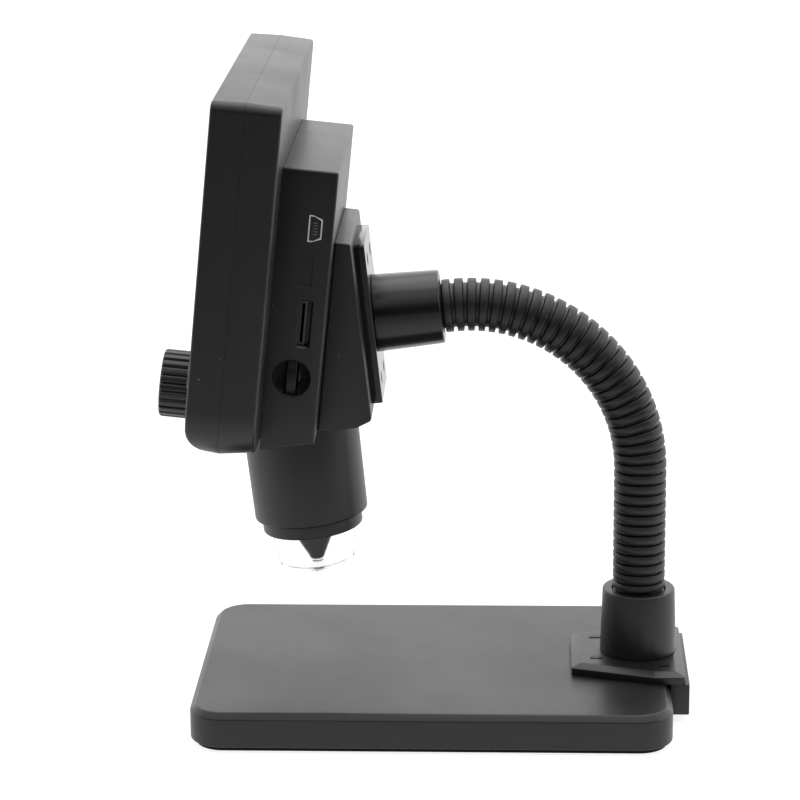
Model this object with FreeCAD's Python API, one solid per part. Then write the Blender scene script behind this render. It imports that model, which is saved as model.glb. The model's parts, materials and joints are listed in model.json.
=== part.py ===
"""Desktop digital microscope: a 4.3 inch screen head on a ribbed gooseneck, over a flat base.

Millimetres. +Z is up, -Y is the screen side, +X the side with the sockets.
The origin is the centre of the base's underside.
"""
import FreeCAD, Part
import math
import os

V = FreeCAD.Vector

# base
BASE_L = 140.0
BASE_W = 96.0
BASE_CORNER = 10.0
BASE_H = 10.3
BASE_CHAMFER = 1.7
BASE_WALL = 3.0
BASE_TOP = 2.4
PAD_T = 1.5
PAD_INSET = 1.7
POCKET_BACK = 30.0
BALLAST_T = 2.5
BALLAST_GAP = 0.3
RIB_T = 2.0

# foot plate that hooks over the back edge of the base
FOOT_FRONT = 29.0
FOOT_FRONT_W = 29.0
FOOT_BACK_W = 44.0
FOOT_FLARE = 24.0
FOOT_EDGE_H = 2.1
FOOT_BEVEL_H = 1.1
FOOT_BEVEL_W = 2.8
LIP_T = 4.4
LIP_DROP = 9.5
LIP_BACK = 1.2
FOOT_SCREW_DX = (8.8, 15.0)
FOOT_SCREW_Y = (21.6, 1.9)

# cone sockets at both ends of the neck
SOCKET_Y = 8.9
SOCKET_L = 19.5
SOCKET_ROOT_R = 11.4
SOCKET_MOUTH_R = 10.75
SOCKET_FLOOR = 3.5
SOCKET_EDGE = 0.8

# ribbed neck
RIB_R = 7.75
GROOVE_R = 6.95
HOSE_BORE_R = 5.7
RIB_PITCH = 3.26
RIB_FLANK = 0.25
GROOVE_W = 0.7
PIECE_RIBS = (3, 5, 5, 6, 6, 5, 5, 3)
NECK_GAP = 1.4
NECK_BEND_R = 50.0
NECK_END = 3.2
HOSE_FIT = 0.2

# ball links inside the neck
BALL_R = 4.3
BALL_FIT = 0.15
CUP_R = 5.1
CUP_LIP = 1.3
LINK_R = 2.6
COLLAR_T = 1.5
COLLAR_FIT = 0.15

# head: the screen leans back, the tube axis leans the other way
LEAN = 6.0
TWIST = 12.0
PLATE_T = 3.0
PLATE_W = 28.0
PLATE_H = 47.5
PLATE_EDGE = 0.8
PLATE_SCREW_X = 6.3
PLATE_SCREW_Z = 17.8
SCREW_HEAD_R = 1.85
SCREW_HEAD_H = 1.3
SCREW_R = 1.0
SCREW_L = 6.0
SCREW_SINK = 0.3
SCREW_FIT = 0.1

# screen housing
LCD_W = 123.0
LCD_H = 101.6
FRONT_D = 9.5
REAR_D = 10.0
TOP_R = 3.0
LOW_R = 15.0
CURL_R = 9.0
SKIN = 1.8
FACE_T = 2.2
DRAFT = 0.35
BUMP_R = 13.0
BUMP_LID = 1.5
PANEL_W = 105.5
PANEL_H = 67.2
PANEL_T = 2.9
PANEL_TOP = 5.4
VIEW_W = 97.0
VIEW_H = 56.0
GLASS_LAP = 1.8
GLASS_T = 1.2
GLASS_SINK = 0.1
GLASS_FIT = 0.2
POST_R = 2.0

# keys beside the focus knob
KEY_X = (20.0, 34.0, 48.0)
KEY_UP = 21.1
KEY_R = 3.6
KEY_FIT = 0.3
KEY_PROUD = 1.2
KEY_FLANGE = 0.8
KEY_FLANGE_T = 1.0
KEY_PLAY = 0.1
KEY_TRAVEL = 0.5
KEY_BOARD_W = 108.0
KEY_BOARD_H = 11.0
SWITCH_W = 5.0
SWITCH_H = 1.7
BOARD_T = 1.6

# port housing behind the screen, and the wedge cover behind it
MID_W = 74.0
MID_D = 15.5
MID_TOP = -21.0
TUBE_DROP = 3.4
MID_EDGE = 1.5
WEDGE_W = 47.8
WEDGE_TOP = -43.8
WEDGE_CUT = 1.7
WEDGE_CUT_D = 4.5
WEDGE_EDGE = 1.0
SEAT_UP = 27.6
SEAT_BACK = 23.0

# boards and ports on the +X side
BOARD_Y = 25.9
BOARD_W = 69.0
BOARD_TOP = -24.0
BOARD_UP = 8.6
USB_Z = -37.4
USB_W = 7.7
USB_T = 3.9
USB_D = 9.0
USB_NECK_W = 5.6
USB_WALL = 0.4
CARD_Z = -65.0
CARD_W = 11.4
CARD_SLOT = 0.9
CARD_BODY = (16.0, 2.1, 14.0)
SLOT_W = 13.0
SLOT_T = 3.0
RECESS_Z = -49.8
RECESS_W = 3.6
RECESS_H = 8.4
RECESS_DEEP = 0.4
DIAL_Z = -81.0
DIAL_R = 8.0
DIAL_T = 3.0
DIAL_Y = 26.9
DIAL_PROUD = 0.5
DIAL_TEETH = 30
DIAL_CUT = 0.5
BOWL_R = 5.5
BOWL_DEEP = 3.0
POT_W = 10.0
PIN_R = 1.5
PIN_FIT = 0.06
CELL = (50.0, 6.0, 34.0)
CELL_Z = -29.0

# focus drive
KNOB_UP = 5.0
KNOB_R = 10.0
KNOB_OUT = 12.8
KNOB_GAP = 0.6
KNOB_RIBS = 24
KNOB_CUT_R = 0.55
KNOB_EDGE = 0.8
SHAFT_R = 1.5
SHAFT_FIT = 0.06
SHAFT_END = 30.2
MODULE = 0.5
PINION_TEETH = 16
PINION_Y = 22.4
PINION_W = 3.2
TOOTH_PLAY = 0.10
RACK_SHIFT = 0.6
RACK_D = 3.2
RACK_BACK = 7.2
RACK_UP = 14.5
BEARING_GAP = 1.3
BEARING_UP = 11.0
BEARING_D = 2.2
BEARING_W = 9.0

# optics on the tube axis
AXIS_SHIFT = 2.5
TUBE_R = 17.1
TUBE_LOW_R = 16.8
TUBE_BORE = 15.0
TUBE_L = 31.0
TUBE_LID = 2.0
RING_R = 14.85
RING_BORE = 12.8
RING_L = 4.2
RING_SPIGOT = 2.0
CUP_TIP_R = 11.0
CUP_L = 11.6
CUP_WALL = 1.2
HOOD_R = 9.5
HOOD_TIP_R = 1.9
HOOD_GAP = 0.2
HOOD_WALL = 0.6
LED_BOARD_T = 1.2
LED_COUNT = 8
LED_RING_R = 10.6
LED_H = 1.6
LED_W = 2.8
LENS_HOLE = 6.7
CARR_R = 14.7
CARR_DROP = 8.5
STEM_W = 3.0
COMB_DROP = 3.5
CARR_L = 12.5
CARR_LID = 1.5
CARR_WALL = 1.5
CELL_R = 6.0
HOLDER_R = 8.0
LENS_R = 4.2
FIT = 0.05


def box(x0, x1, y0, y1, z0, z1):
    return Part.makeBox(x1 - x0, y1 - y0, z1 - z0, V(x0, y0, z0))


def rod_y(x, z, r, y0, y1):
    return Part.makeCylinder(r, y1 - y0, V(x, y0, z), V(0, 1, 0))


def rod_z(x, y, r, z0, z1):
    return Part.makeCylinder(r, z1 - z0, V(x, y, z0), V(0, 0, 1))


def prism_x(points, half):
    face = Part.Face(Part.makePolygon([V(-half, y, z) for y, z in points + points[:1]]))
    return face.extrude(V(2 * half, 0, 0))


def rounded_box(half, y0, y1, r, z0, z1):
    """Upright prism on a rectangle whose four corners have radius r."""
    body = box(-half, half, y0, y1, z0, z1)
    upright = [e for e in body.Edges if abs(e.tangentAt(e.FirstParameter).z) > 0.9]
    return body.makeFillet(r, upright)


def edges_at_z(shape, z):
    return [e for e in shape.Edges if abs(e.BoundBox.ZMin - z) < 1e-6 and abs(e.BoundBox.ZMax - z) < 1e-6]


def union(first, *rest):
    return first.multiFuse(list(rest)).removeSplitter()


# frames: shapes of the tube are turned into the screen frame, and the head is placed on the neck

def tube_to_screen(shape):
    turned = shape.copy()
    turned.rotate(V(0, 0, 0), V(1, 0, 0), TWIST)
    return turned


def foot_top():
    return PAD_T + BASE_H + FOOT_EDGE_H + FOOT_BEVEL_H


def neck_foot():
    """Mouth of the lower socket, where the neck comes out."""
    return BASE_L / 2 - SOCKET_Y, foot_top() + SOCKET_L


TILT = TWIST - LEAN
KEY_Z = KEY_UP - LCD_H
KNOB_Z = KNOB_UP - LCD_H
MID_BOTTOM = -LCD_H - TUBE_DROP
BOARD_LOW = KNOB_Z + BOARD_UP
PINION_MID = PINION_Y + PINION_W / 2
RACK_Y = (PINION_MID * math.cos(math.radians(TWIST)) + KNOB_Z * math.sin(math.radians(TWIST))) + RACK_SHIFT
AXIS_Y = RACK_Y + AXIS_SHIFT
WEDGE_BACK = AXIS_Y + SEAT_BACK
NECK_SEAT_Z = MID_BOTTOM + SEAT_UP
BEARING_Y = RACK_Y + RACK_D / 2 + BEARING_GAP
CARR_TOP = MID_BOTTOM - CARR_DROP
NECK_RIBS = sum(PIECE_RIBS)
NECK_CUTS = [sum(PIECE_RIBS[:n]) for n in range(1, len(PIECE_RIBS))]
NECK_L = NECK_RIBS * RIB_PITCH
NECK_ARC = NECK_BEND_R * math.radians(90.0 + TILT)
NECK_RISE = NECK_L - NECK_ARC - NECK_END


def neck_at(s):
    """Centre point and turn angle of the neck, s millimetres from the lower socket's mouth."""
    y, z = neck_foot()
    if s <= NECK_RISE:
        return V(0, y, z + s), 0.0
    turn = min((s - NECK_RISE) / NECK_BEND_R, math.radians(90.0 + TILT))
    y -= NECK_BEND_R * (1 - math.cos(turn))
    z += NECK_RISE + NECK_BEND_R * math.sin(turn)
    over = max(s - NECK_RISE - NECK_ARC, 0.0)
    y -= over * math.sin(turn)
    z += over * math.cos(turn)
    return V(0, y, z), math.degrees(turn)


def head_origin():
    """Top front edge of the screen housing, found back from the neck's upper end."""
    seat = V(0, WEDGE_BACK + PLATE_T + SOCKET_L, NECK_SEAT_Z)
    turned = FreeCAD.Rotation(V(1, 0, 0), TILT).multVec(seat)
    return neck_at(NECK_L)[0] - turned


def place_head(shape):
    put = shape.copy()
    put.Placement = FreeCAD.Placement(head_origin(), FreeCAD.Rotation(V(1, 0, 0), -LEAN)).multiply(put.Placement)
    return put


# base

def base_shell():
    top = PAD_T + BASE_H
    body = rounded_box(BASE_W / 2, -BASE_L / 2, BASE_L / 2, BASE_CORNER, PAD_T, top)
    body = body.makeChamfer(BASE_CHAMFER, edges_at_z(body, top))
    x = BASE_W / 2 - BASE_WALL
    front = BASE_WALL - BASE_L / 2
    back = POCKET_BACK
    pocket = rounded_box(x, front, back, BASE_CORNER - BASE_WALL, PAD_T - 1, top - BASE_TOP)
    floor = PAD_T + BALLAST_T + BALLAST_GAP
    ribs = []
    for i in (-1, 0, 1):
        ribs.append(box(i * x / 2 - RIB_T / 2, i * x / 2 + RIB_T / 2, front, back, floor, top - BASE_TOP))
    middle = (front + back) / 2
    ribs.append(box(-x, x, middle - RIB_T / 2, middle + RIB_T / 2, floor, top - BASE_TOP))
    body = body.cut(pocket.cut(Part.makeCompound(ribs)))
    for x, y in foot_screw_places():
        body = body.cut(rod_z(x, y, SCREW_R + FIT, PAD_T + 2, top + 1))
    return body


def base_ballast():
    edge = BASE_WALL + BALLAST_GAP
    return rounded_box(BASE_W / 2 - edge, edge - BASE_L / 2, POCKET_BACK - BALLAST_GAP, BASE_CORNER - edge,
                       PAD_T, PAD_T + BALLAST_T)


def base_pad():
    y = BASE_L / 2 - PAD_INSET
    return rounded_box(BASE_W / 2 - PAD_INSET, -y, y, BASE_CORNER - PAD_INSET, 0, PAD_T)


# foot

def foot_outline(inset, z):
    front = BASE_L / 2 - FOOT_FRONT + inset * 0.7
    back = BASE_L / 2 + LIP_T - inset * 0.7
    flare = BASE_L / 2 - FOOT_FRONT + FOOT_FLARE
    a = FOOT_FRONT_W / 2 - inset
    b = FOOT_BACK_W / 2 - inset
    pts = [(-a, front), (a, front), (b, flare), (b, back), (-b, back), (-b, flare), (-a, front)]
    return Part.makePolygon([V(x, y, z) for x, y in pts])


def foot_screw_places():
    rows = zip(FOOT_SCREW_DX, FOOT_SCREW_Y)
    return [(side * dx, BASE_L / 2 - back) for dx, back in rows for side in (-1, 1)]


def foot_plate():
    low = PAD_T + BASE_H
    body = Part.Face(foot_outline(0, low)).extrude(V(0, 0, FOOT_EDGE_H))
    bevel = Part.makeLoft([foot_outline(0, low + FOOT_EDGE_H), foot_outline(FOOT_BEVEL_W, foot_top())], True, True)
    lip = box(-FOOT_BACK_W / 2, FOOT_BACK_W / 2, BASE_L / 2, BASE_L / 2 + LIP_T + LIP_BACK, low - LIP_DROP, low)
    body = union(body, bevel, lip)
    for x, y in foot_screw_places():
        body = body.cut(rod_z(x, y, SCREW_R + SCREW_FIT, low - 1, foot_top()))
        body = body.cut(rod_z(x, y, SCREW_HEAD_R + SCREW_FIT, foot_top() - SCREW_SINK - SCREW_HEAD_H, foot_top() + 1))
    return body


def screw():
    """Screw with its head's top at the origin, pointing down."""
    head = rod_z(0, 0, SCREW_HEAD_R, -SCREW_HEAD_H, 0)
    return union(head, rod_z(0, 0, SCREW_R, -SCREW_L - SCREW_HEAD_H, -SCREW_HEAD_H))


def foot_screws():
    pieces = []
    for x, y in foot_screw_places():
        one = screw()
        one.translate(V(x, y, foot_top() - SCREW_SINK))
        pieces.append(one)
    return Part.makeCompound(pieces)


def socket():
    """Cone socket standing on z = 0, with the neck's blind bore from its mouth."""
    cone = Part.makeCone(SOCKET_ROOT_R, SOCKET_MOUTH_R, SOCKET_L)
    rim = [e for e in edges_at_z(cone, SOCKET_L)]
    cone = cone.makeFillet(SOCKET_EDGE, rim)
    return cone.cut(rod_z(0, 0, RIB_R + HOSE_FIT, SOCKET_FLOOR, SOCKET_L + 1))


def lower_socket():
    part = socket()
    part.translate(V(0, neck_foot()[0], foot_top()))
    return part


def upper_socket():
    part = socket()
    part.rotate(V(0, 0, 0), V(1, 0, 0), -90)
    part.translate(V(0, WEDGE_BACK + PLATE_T, NECK_SEAT_Z))
    return place_head(tube_to_screen(part))


# ribbed neck

def neck_ring(s, r):
    centre, turn = neck_at(s)
    ring = Part.Wire(Part.Circle(V(0, 0, 0), V(0, 0, 1), r).toShape())
    ring.Placement = FreeCAD.Placement(centre, FreeCAD.Rotation(V(1, 0, 0), turn))
    return ring


def ring_beyond(s, r):
    """Ring on the neck's axis, also where it runs on straight inside a socket."""
    if s < 0:
        ring = neck_ring(0, r)
        ring.translate(V(0, 0, s))
        return ring
    ring = neck_ring(min(s, NECK_L), r)
    if s > NECK_L:
        turn = math.radians(90.0 + TILT)
        ring.translate(V(0, -math.sin(turn), math.cos(turn)) * (s - NECK_L))
    return ring


def neck_length(index):
    """Where piece number index of the neck starts and ends, and the ribs between."""
    buried = SOCKET_L - SOCKET_FLOOR
    cuts = [n * RIB_PITCH for n in NECK_CUTS]
    start = cuts[index - 1] + NECK_GAP / 2 if index else -buried
    end = cuts[index] - NECK_GAP / 2 if index < len(cuts) else NECK_L + buried
    first = NECK_CUTS[index - 1] if index else -math.floor(buried / RIB_PITCH)
    last = NECK_CUTS[index] if index < len(cuts) else NECK_RIBS + math.floor(buried / RIB_PITCH)
    return start, end, range(first, last)


def neck_sleeve(index):
    """Ruled loft through four rings a rib, with the bore taken out."""
    start, end, ribs = neck_length(index)
    rings = [(start, GROOVE_R)]
    for n in ribs:
        a = max(n * RIB_PITCH + GROOVE_W / 2, start)
        b = min((n + 1) * RIB_PITCH - GROOVE_W / 2, end)
        if a > start:
            rings.append((a, GROOVE_R))
        rings.append((a + RIB_FLANK, RIB_R))
        rings.append((b - RIB_FLANK, RIB_R))
        if b < end:
            rings.append((b, GROOVE_R))
    rings.append((end, GROOVE_R))
    skin = Part.makeLoft([ring_beyond(s, r) for s, r in rings], True, True)
    steps = [start] + [n * RIB_PITCH for n in ribs if n * RIB_PITCH > start] + [end]
    bore = Part.makeLoft([ring_beyond(s, HOSE_BORE_R) for s in steps], True, True)
    return skin.cut(bore)


def neck_frame(s):
    centre, turn = neck_at(s)
    return FreeCAD.Placement(centre, FreeCAD.Rotation(V(1, 0, 0), turn))


def link_cup(s):
    """Cup that holds the next link's ball, open along the neck."""
    seat = BALL_R + BALL_FIT
    cup = rod_z(0, 0, CUP_R, -seat - 0.5, CUP_LIP)
    cup = cup.cut(Part.makeSphere(seat))
    cup.Placement = neck_frame(s)
    return cup


def neck_link(index):
    """Ball at one end, cup at the other, and a collar that carries the sleeve."""
    start, end, ribs = neck_length(index)
    cuts = [n * RIB_PITCH for n in NECK_CUTS]
    low = neck_at(cuts[index - 1])[0] if index else ring_beyond(start + COLLAR_T, 1).BoundBox.Center
    high = ring_beyond(end - COLLAR_T, 1).BoundBox.Center
    pieces = []
    if index < len(cuts):
        frame = neck_frame(cuts[index])
        high = frame.multVec(V(0, 0, -BALL_R - BALL_FIT - 0.3))
        pieces.append(link_cup(cuts[index]))
    if index:
        pieces.append(Part.makeSphere(BALL_R, low))
    pieces.append(Part.makeCylinder(LINK_R, (high - low).Length, low, high - low))
    middle = (start + end) / 2
    if index in (0, len(cuts)):
        middle = start + COLLAR_T if index == 0 else end - COLLAR_T
    disc = rod_z(0, 0, HOSE_BORE_R - COLLAR_FIT, -COLLAR_T / 2, COLLAR_T / 2)
    seat = ring_beyond(middle, 1)
    disc.Placement = FreeCAD.Placement(seat.BoundBox.Center, seat.Placement.Rotation)
    pieces.append(disc)
    return union(*pieces)


# head plate on the wedge cover

def plate_screw_places():
    return [(x, NECK_SEAT_Z + z) for x in (-PLATE_SCREW_X, PLATE_SCREW_X) for z in (-PLATE_SCREW_Z, PLATE_SCREW_Z)]


def head_plate():
    back = WEDGE_BACK + PLATE_T
    low = NECK_SEAT_Z - PLATE_H / 2
    body = box(-PLATE_W / 2, PLATE_W / 2, WEDGE_BACK, back, low, low + PLATE_H)
    rim = [e for e in body.Edges if abs(e.BoundBox.YMin - back) < 1e-6 and abs(e.BoundBox.YMax - back) < 1e-6]
    body = body.makeChamfer(PLATE_EDGE, rim)
    for x, z in plate_screw_places():
        body = body.cut(rod_y(x, z, SCREW_R + SCREW_FIT, WEDGE_BACK - 1, back))
        body = body.cut(rod_y(x, z, SCREW_HEAD_R + SCREW_FIT, back - SCREW_SINK - SCREW_HEAD_H, back + 1))
    return place_head(tube_to_screen(body))


def plate_screws():
    pieces = []
    for x, z in plate_screw_places():
        one = screw()
        one.rotate(V(0, 0, 0), V(1, 0, 0), -90)
        one.translate(V(x, WEDGE_BACK + PLATE_T - SCREW_SINK, z))
        pieces.append(one)
    return place_head(tube_to_screen(Part.makeCompound(pieces)))


# screen housing

def lcd_outline(inset, y):
    """Front view of the housing: small upper corners, large lower ones."""
    x = LCD_W / 2 - inset
    top = -inset
    low = inset - LCD_H
    a = max(TOP_R - inset, 0.5)
    b = LOW_R - inset
    k = math.sqrt(0.5)
    def p(px, pz):
        return V(px, y, pz)
    def arc(cx, cz, r, sx, sz):
        if sx * sz > 0:
            ends = (p(cx, cz + sz * r), p(cx + sx * r, cz))
        else:
            ends = (p(cx + sx * r, cz), p(cx, cz + sz * r))
        return Part.Arc(ends[0], p(cx + sx * r * k, cz + sz * r * k), ends[1]).toShape()
    edges = [
        Part.makeLine(p(a - x, top), p(x - a, top)),
        arc(x - a, top - a, a, 1, 1),
        Part.makeLine(p(x, top - a), p(x, low + b)),
        arc(x - b, low + b, b, 1, -1),
        Part.makeLine(p(x - b, low), p(b - x, low)),
        arc(b - x, low + b, b, -1, -1),
        Part.makeLine(p(-x, low + b), p(-x, top - a)),
        arc(a - x, top - a, a, -1, 1),
    ]
    return Part.Wire(edges)


def lcd_block(y0, inset0, y1, inset1):
    return Part.makeLoft([lcd_outline(inset0, y0), lcd_outline(inset1, y1)], True, True)


def curl(inset, y0, y1):
    """Side view that rounds the lower front edge."""
    r = CURL_R - inset
    low = inset - LCD_H
    front = inset
    mid = V(0, front + r * (1 - math.sqrt(0.5)), low + r * (1 - math.sqrt(0.5)))
    a = V(0, front, low + r)
    b = V(0, front + r, low)
    edges = [
        Part.Arc(a, mid, b).toShape(),
        Part.makeLine(b, V(0, y1, low)),
        Part.makeLine(V(0, y1, low), V(0, y1, 1)),
        Part.makeLine(V(0, y1, 1), V(0, front, 1)),
        Part.makeLine(V(0, front, 1), a),
    ]
    solid = Part.Face(Part.Wire(edges)).extrude(V(LCD_W + 2, 0, 0))
    solid.translate(V(-LCD_W / 2 - 1, 0, 0))
    return solid


def view_z():
    return -PANEL_TOP - PANEL_H / 2


def lcd_front_shell():
    body = lcd_block(0, DRAFT, FRONT_D, 0).common(curl(0, 0, FRONT_D + 1))
    body = union(body, rod_y(0, KNOB_Z, BUMP_R, 0, FRONT_D))
    hollow = lcd_block(FACE_T, SKIN + DRAFT, FRONT_D + 1, SKIN).common(curl(SKIN, 0, FRONT_D + 2))
    hollow = hollow.common(box(-LCD_W, LCD_W, FACE_T, FRONT_D + 1, -LCD_H, 0))
    body = body.cut(hollow).cut(rod_y(0, KNOB_Z, BUMP_R - SKIN, FACE_T, FRONT_D + 1))
    z = view_z()
    body = body.cut(box(-VIEW_W / 2, VIEW_W / 2, -1, FACE_T + 1, z - VIEW_H / 2, z + VIEW_H / 2))
    lap = GLASS_LAP + GLASS_FIT
    deep = GLASS_T + GLASS_SINK
    body = body.cut(box(-VIEW_W / 2 - lap, VIEW_W / 2 + lap, -1, deep, z - VIEW_H / 2 - lap, z + VIEW_H / 2 + lap))
    for x in key_places():
        body = body.cut(rod_y(x, KEY_Z, KEY_R + KEY_FIT, -1, FACE_T + 1))
    body = body.cut(rod_y(0, KNOB_Z, SHAFT_R + SHAFT_FIT, -1, FACE_T + 1))
    return place_head(body)


def lcd_rear_shell():
    back = FRONT_D + REAR_D
    body = lcd_block(FRONT_D, 0, back, DRAFT)
    body = union(body, rod_y(0, KNOB_Z, BUMP_R, FRONT_D, FRONT_D + BUMP_LID))
    body = body.cut(lcd_block(FRONT_D - 1, SKIN, back - SKIN, SKIN + DRAFT))
    body = union(body, rod_y(0, KNOB_Z, SHAFT_R + SKIN + 1, FRONT_D, back))
    panel = FACE_T + PANEL_T
    posts = [rod_y(x, z, POST_R, panel, back - SKIN / 2) for x in (-50, 50) for z in panel_post_z()]
    posts += [rod_y(x, KEY_Z, POST_R, key_board_y() + BOARD_T, back - SKIN / 2) for x in (-41, 41)]
    body = union(body, *posts)
    body = body.cut(box(-20, 20, back - SKIN - 1, back + 1, -74, -50))
    body = body.cut(rod_y(0, KNOB_Z, SHAFT_R + SHAFT_FIT, FRONT_D - 1, back + 1))
    return place_head(body)


def panel_post_z():
    return (-PANEL_TOP - 2 * POST_R, -PANEL_TOP - PANEL_H + 2 * POST_R)


def lcd_panel():
    return place_head(box(-PANEL_W / 2, PANEL_W / 2, FACE_T, FACE_T + PANEL_T, -PANEL_TOP - PANEL_H, -PANEL_TOP))


def screen_window():
    x = VIEW_W / 2 + GLASS_LAP
    z = view_z()
    h = VIEW_H / 2 + GLASS_LAP
    return place_head(box(-x, x, GLASS_SINK, GLASS_SINK + GLASS_T, z - h, z + h))


def key_places():
    return [-x for x in reversed(KEY_X)] + list(KEY_X)


def key_back():
    return FACE_T + KEY_PLAY + KEY_FLANGE_T


def key_board_y():
    return key_back() + KEY_TRAVEL + 0.1 + SWITCH_H


def key_cap(x):
    cap = rod_y(x, KEY_Z, KEY_R, -KEY_PROUD, key_back())
    rim = [e for e in cap.Edges if abs(e.BoundBox.YMax + KEY_PROUD) < 1e-6]
    cap = cap.makeFillet(0.6, rim)
    return place_head(union(cap, rod_y(x, KEY_Z, KEY_R + KEY_FLANGE, FACE_T + KEY_PLAY, key_back())))


def key_board():
    y = key_board_y()
    body = box(-KEY_BOARD_W / 2, KEY_BOARD_W / 2, y, y + BOARD_T, KEY_Z - KEY_BOARD_H / 2, KEY_Z + KEY_BOARD_H / 2)
    w = SWITCH_W / 2
    switches = [box(x - w, x + w, y - SWITCH_H, y, KEY_Z - w, KEY_Z + w) for x in key_places()]
    return place_head(union(body, *switches))


def battery_cell():
    back = FRONT_D + REAR_D - SKIN
    w, t, h = CELL
    return place_head(box(-w / 2, w / 2, back - t, back, CELL_Z - h / 2, CELL_Z + h / 2))


# port housing

def mid_back():
    return FRONT_D + REAR_D + MID_D


def below_tube_z(z):
    """Half space below height z of the tube frame, as a block in the screen frame."""
    return tube_to_screen(box(-100, 100, -150, 150, z - 200, z))


def mid_housing():
    front = FRONT_D + REAR_D
    back = mid_back()
    x = MID_W / 2
    body = box(-x, x, front, back, -130, MID_TOP)
    rim = [e for e in body.Edges if abs(e.BoundBox.YMin - back) < 1e-6 and e.BoundBox.YLength < 1e-6]
    rim = [e for e in rim if e.BoundBox.ZMax > -129]
    body = body.makeFillet(MID_EDGE, rim)
    body = body.cut(below_tube_z(MID_BOTTOM))
    inner = box(-x + SKIN, x - SKIN, front - 1, back - SKIN, -130, MID_TOP - SKIN)
    body = body.cut(inner.cut(below_tube_z(MID_BOTTOM + SKIN)))
    lip = box(-x + SKIN / 2, x - SKIN / 2, front, front + SKIN, -130, -LCD_H + 3).cut(below_tube_z(MID_BOTTOM + SKIN / 2))
    posts = [rod_y(px, pz, POST_R, BOARD_Y + BOARD_T, back - SKIN / 2) for px in (-30, 30) for pz in (-28, -51)]
    body = union(body, lip, *posts)
    body = body.cut(rod_y(0, KNOB_Z, SHAFT_R + 0.7, front - 1, front + SKIN + 1))
    body = body.cut(box(x - 3, x + 1, usb_y() - 0.1, usb_y() + USB_T + 0.1, USB_Z - USB_W / 2 - 0.1, USB_Z + USB_W / 2 + 0.1))
    slot_y = usb_y() - 0.2
    body = body.cut(box(x - 3, x + 1, slot_y, slot_y + SLOT_T, CARD_Z - SLOT_W / 2, CARD_Z + SLOT_W / 2))
    recess_y = usb_y() - 1.4
    body = body.cut(box(x - RECESS_DEEP, x + 1, recess_y, recess_y + RECESS_W, RECESS_Z - RECESS_H / 2, RECESS_Z + RECESS_H / 2))
    reach = (BOWL_R ** 2 + BOWL_DEEP ** 2) / (2 * BOWL_DEEP)
    body = body.cut(Part.makeSphere(reach, V(x - BOWL_DEEP + reach, DIAL_Y, DIAL_Z)))
    body = body.cut(rod_y(dial_x(), DIAL_Z, DIAL_R + 0.4, DIAL_Y - DIAL_T / 2 - 0.4, DIAL_Y + DIAL_T / 2 + 0.4))
    gap = tube_to_screen(box(-PINION_TEETH * MODULE / 2 - 1.5, RACK_BACK + 1, RACK_Y - RACK_D / 2 - 2.0,
                             RACK_Y + RACK_D / 2 + 1.0, MID_BOTTOM - 1, MID_BOTTOM + SKIN + 1))
    return place_head(body.cut(gap))


def usb_y():
    return BOARD_Y + BOARD_T + 0.4


def dial_x():
    return MID_W / 2 + DIAL_PROUD - DIAL_R


def main_board():
    w = BOARD_W / 2
    body = box(-w, w, BOARD_Y, BOARD_Y + BOARD_T, BOARD_LOW, BOARD_TOP)
    r = DIAL_R + 1
    body = body.cut(box(dial_x() - r, w + 1, BOARD_Y - 1, BOARD_Y + BOARD_T + 1, DIAL_Z - r, DIAL_Z + r))
    return place_head(body)


def usb_profile(inset, x):
    y0 = usb_y() + inset
    y1 = usb_y() + USB_T - inset
    w = USB_W / 2 - inset
    n = USB_NECK_W / 2 - inset
    pts = [(y0, -w), (y0 + 1.2, -w), (y1, -n), (y1, n), (y0 + 1.2, w), (y0, w), (y0, -w)]
    return Part.makePolygon([V(x, y, USB_Z + z) for y, z in pts])


def usb_socket():
    x = MID_W / 2 + 0.2
    shell = Part.Face(usb_profile(0, x - USB_D)).extrude(V(USB_D, 0, 0))
    shell = shell.cut(Part.Face(usb_profile(USB_WALL, x - USB_D + 1)).extrude(V(USB_D, 0, 0)))
    tongue = box(x - USB_D + 0.5, x - 1.2, usb_y() + 1.3, usb_y() + 2.1, USB_Z - 2.2, USB_Z + 2.2)
    foot = box(x - USB_D, x - 3.5, BOARD_Y + BOARD_T, usb_y() + 0.2, USB_Z - 3, USB_Z + 3)
    return place_head(union(shell, tongue, foot))


def card_socket():
    x = MID_W / 2 - SKIN
    d, t, w = CARD_BODY
    y = BOARD_Y + BOARD_T
    body = box(x - d, x, y, y + t, CARD_Z - w / 2, CARD_Z + w / 2)
    slot = box(x - d + 1.5, x + 1, y + 0.6, y + 0.6 + CARD_SLOT, CARD_Z - CARD_W / 2, CARD_Z + CARD_W / 2)
    return place_head(body.cut(slot))


def dimmer_pot():
    x = dial_x()
    w = POT_W / 2
    y = DIAL_Y + DIAL_T / 2 + 0.4
    body = box(x - w, min(x + w, MID_W / 2 - SKIN), y, mid_back() - SKIN, DIAL_Z - w, DIAL_Z + w)
    return place_head(union(body, rod_y(x, DIAL_Z, PIN_R, DIAL_Y - DIAL_T / 2, y)))


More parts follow.
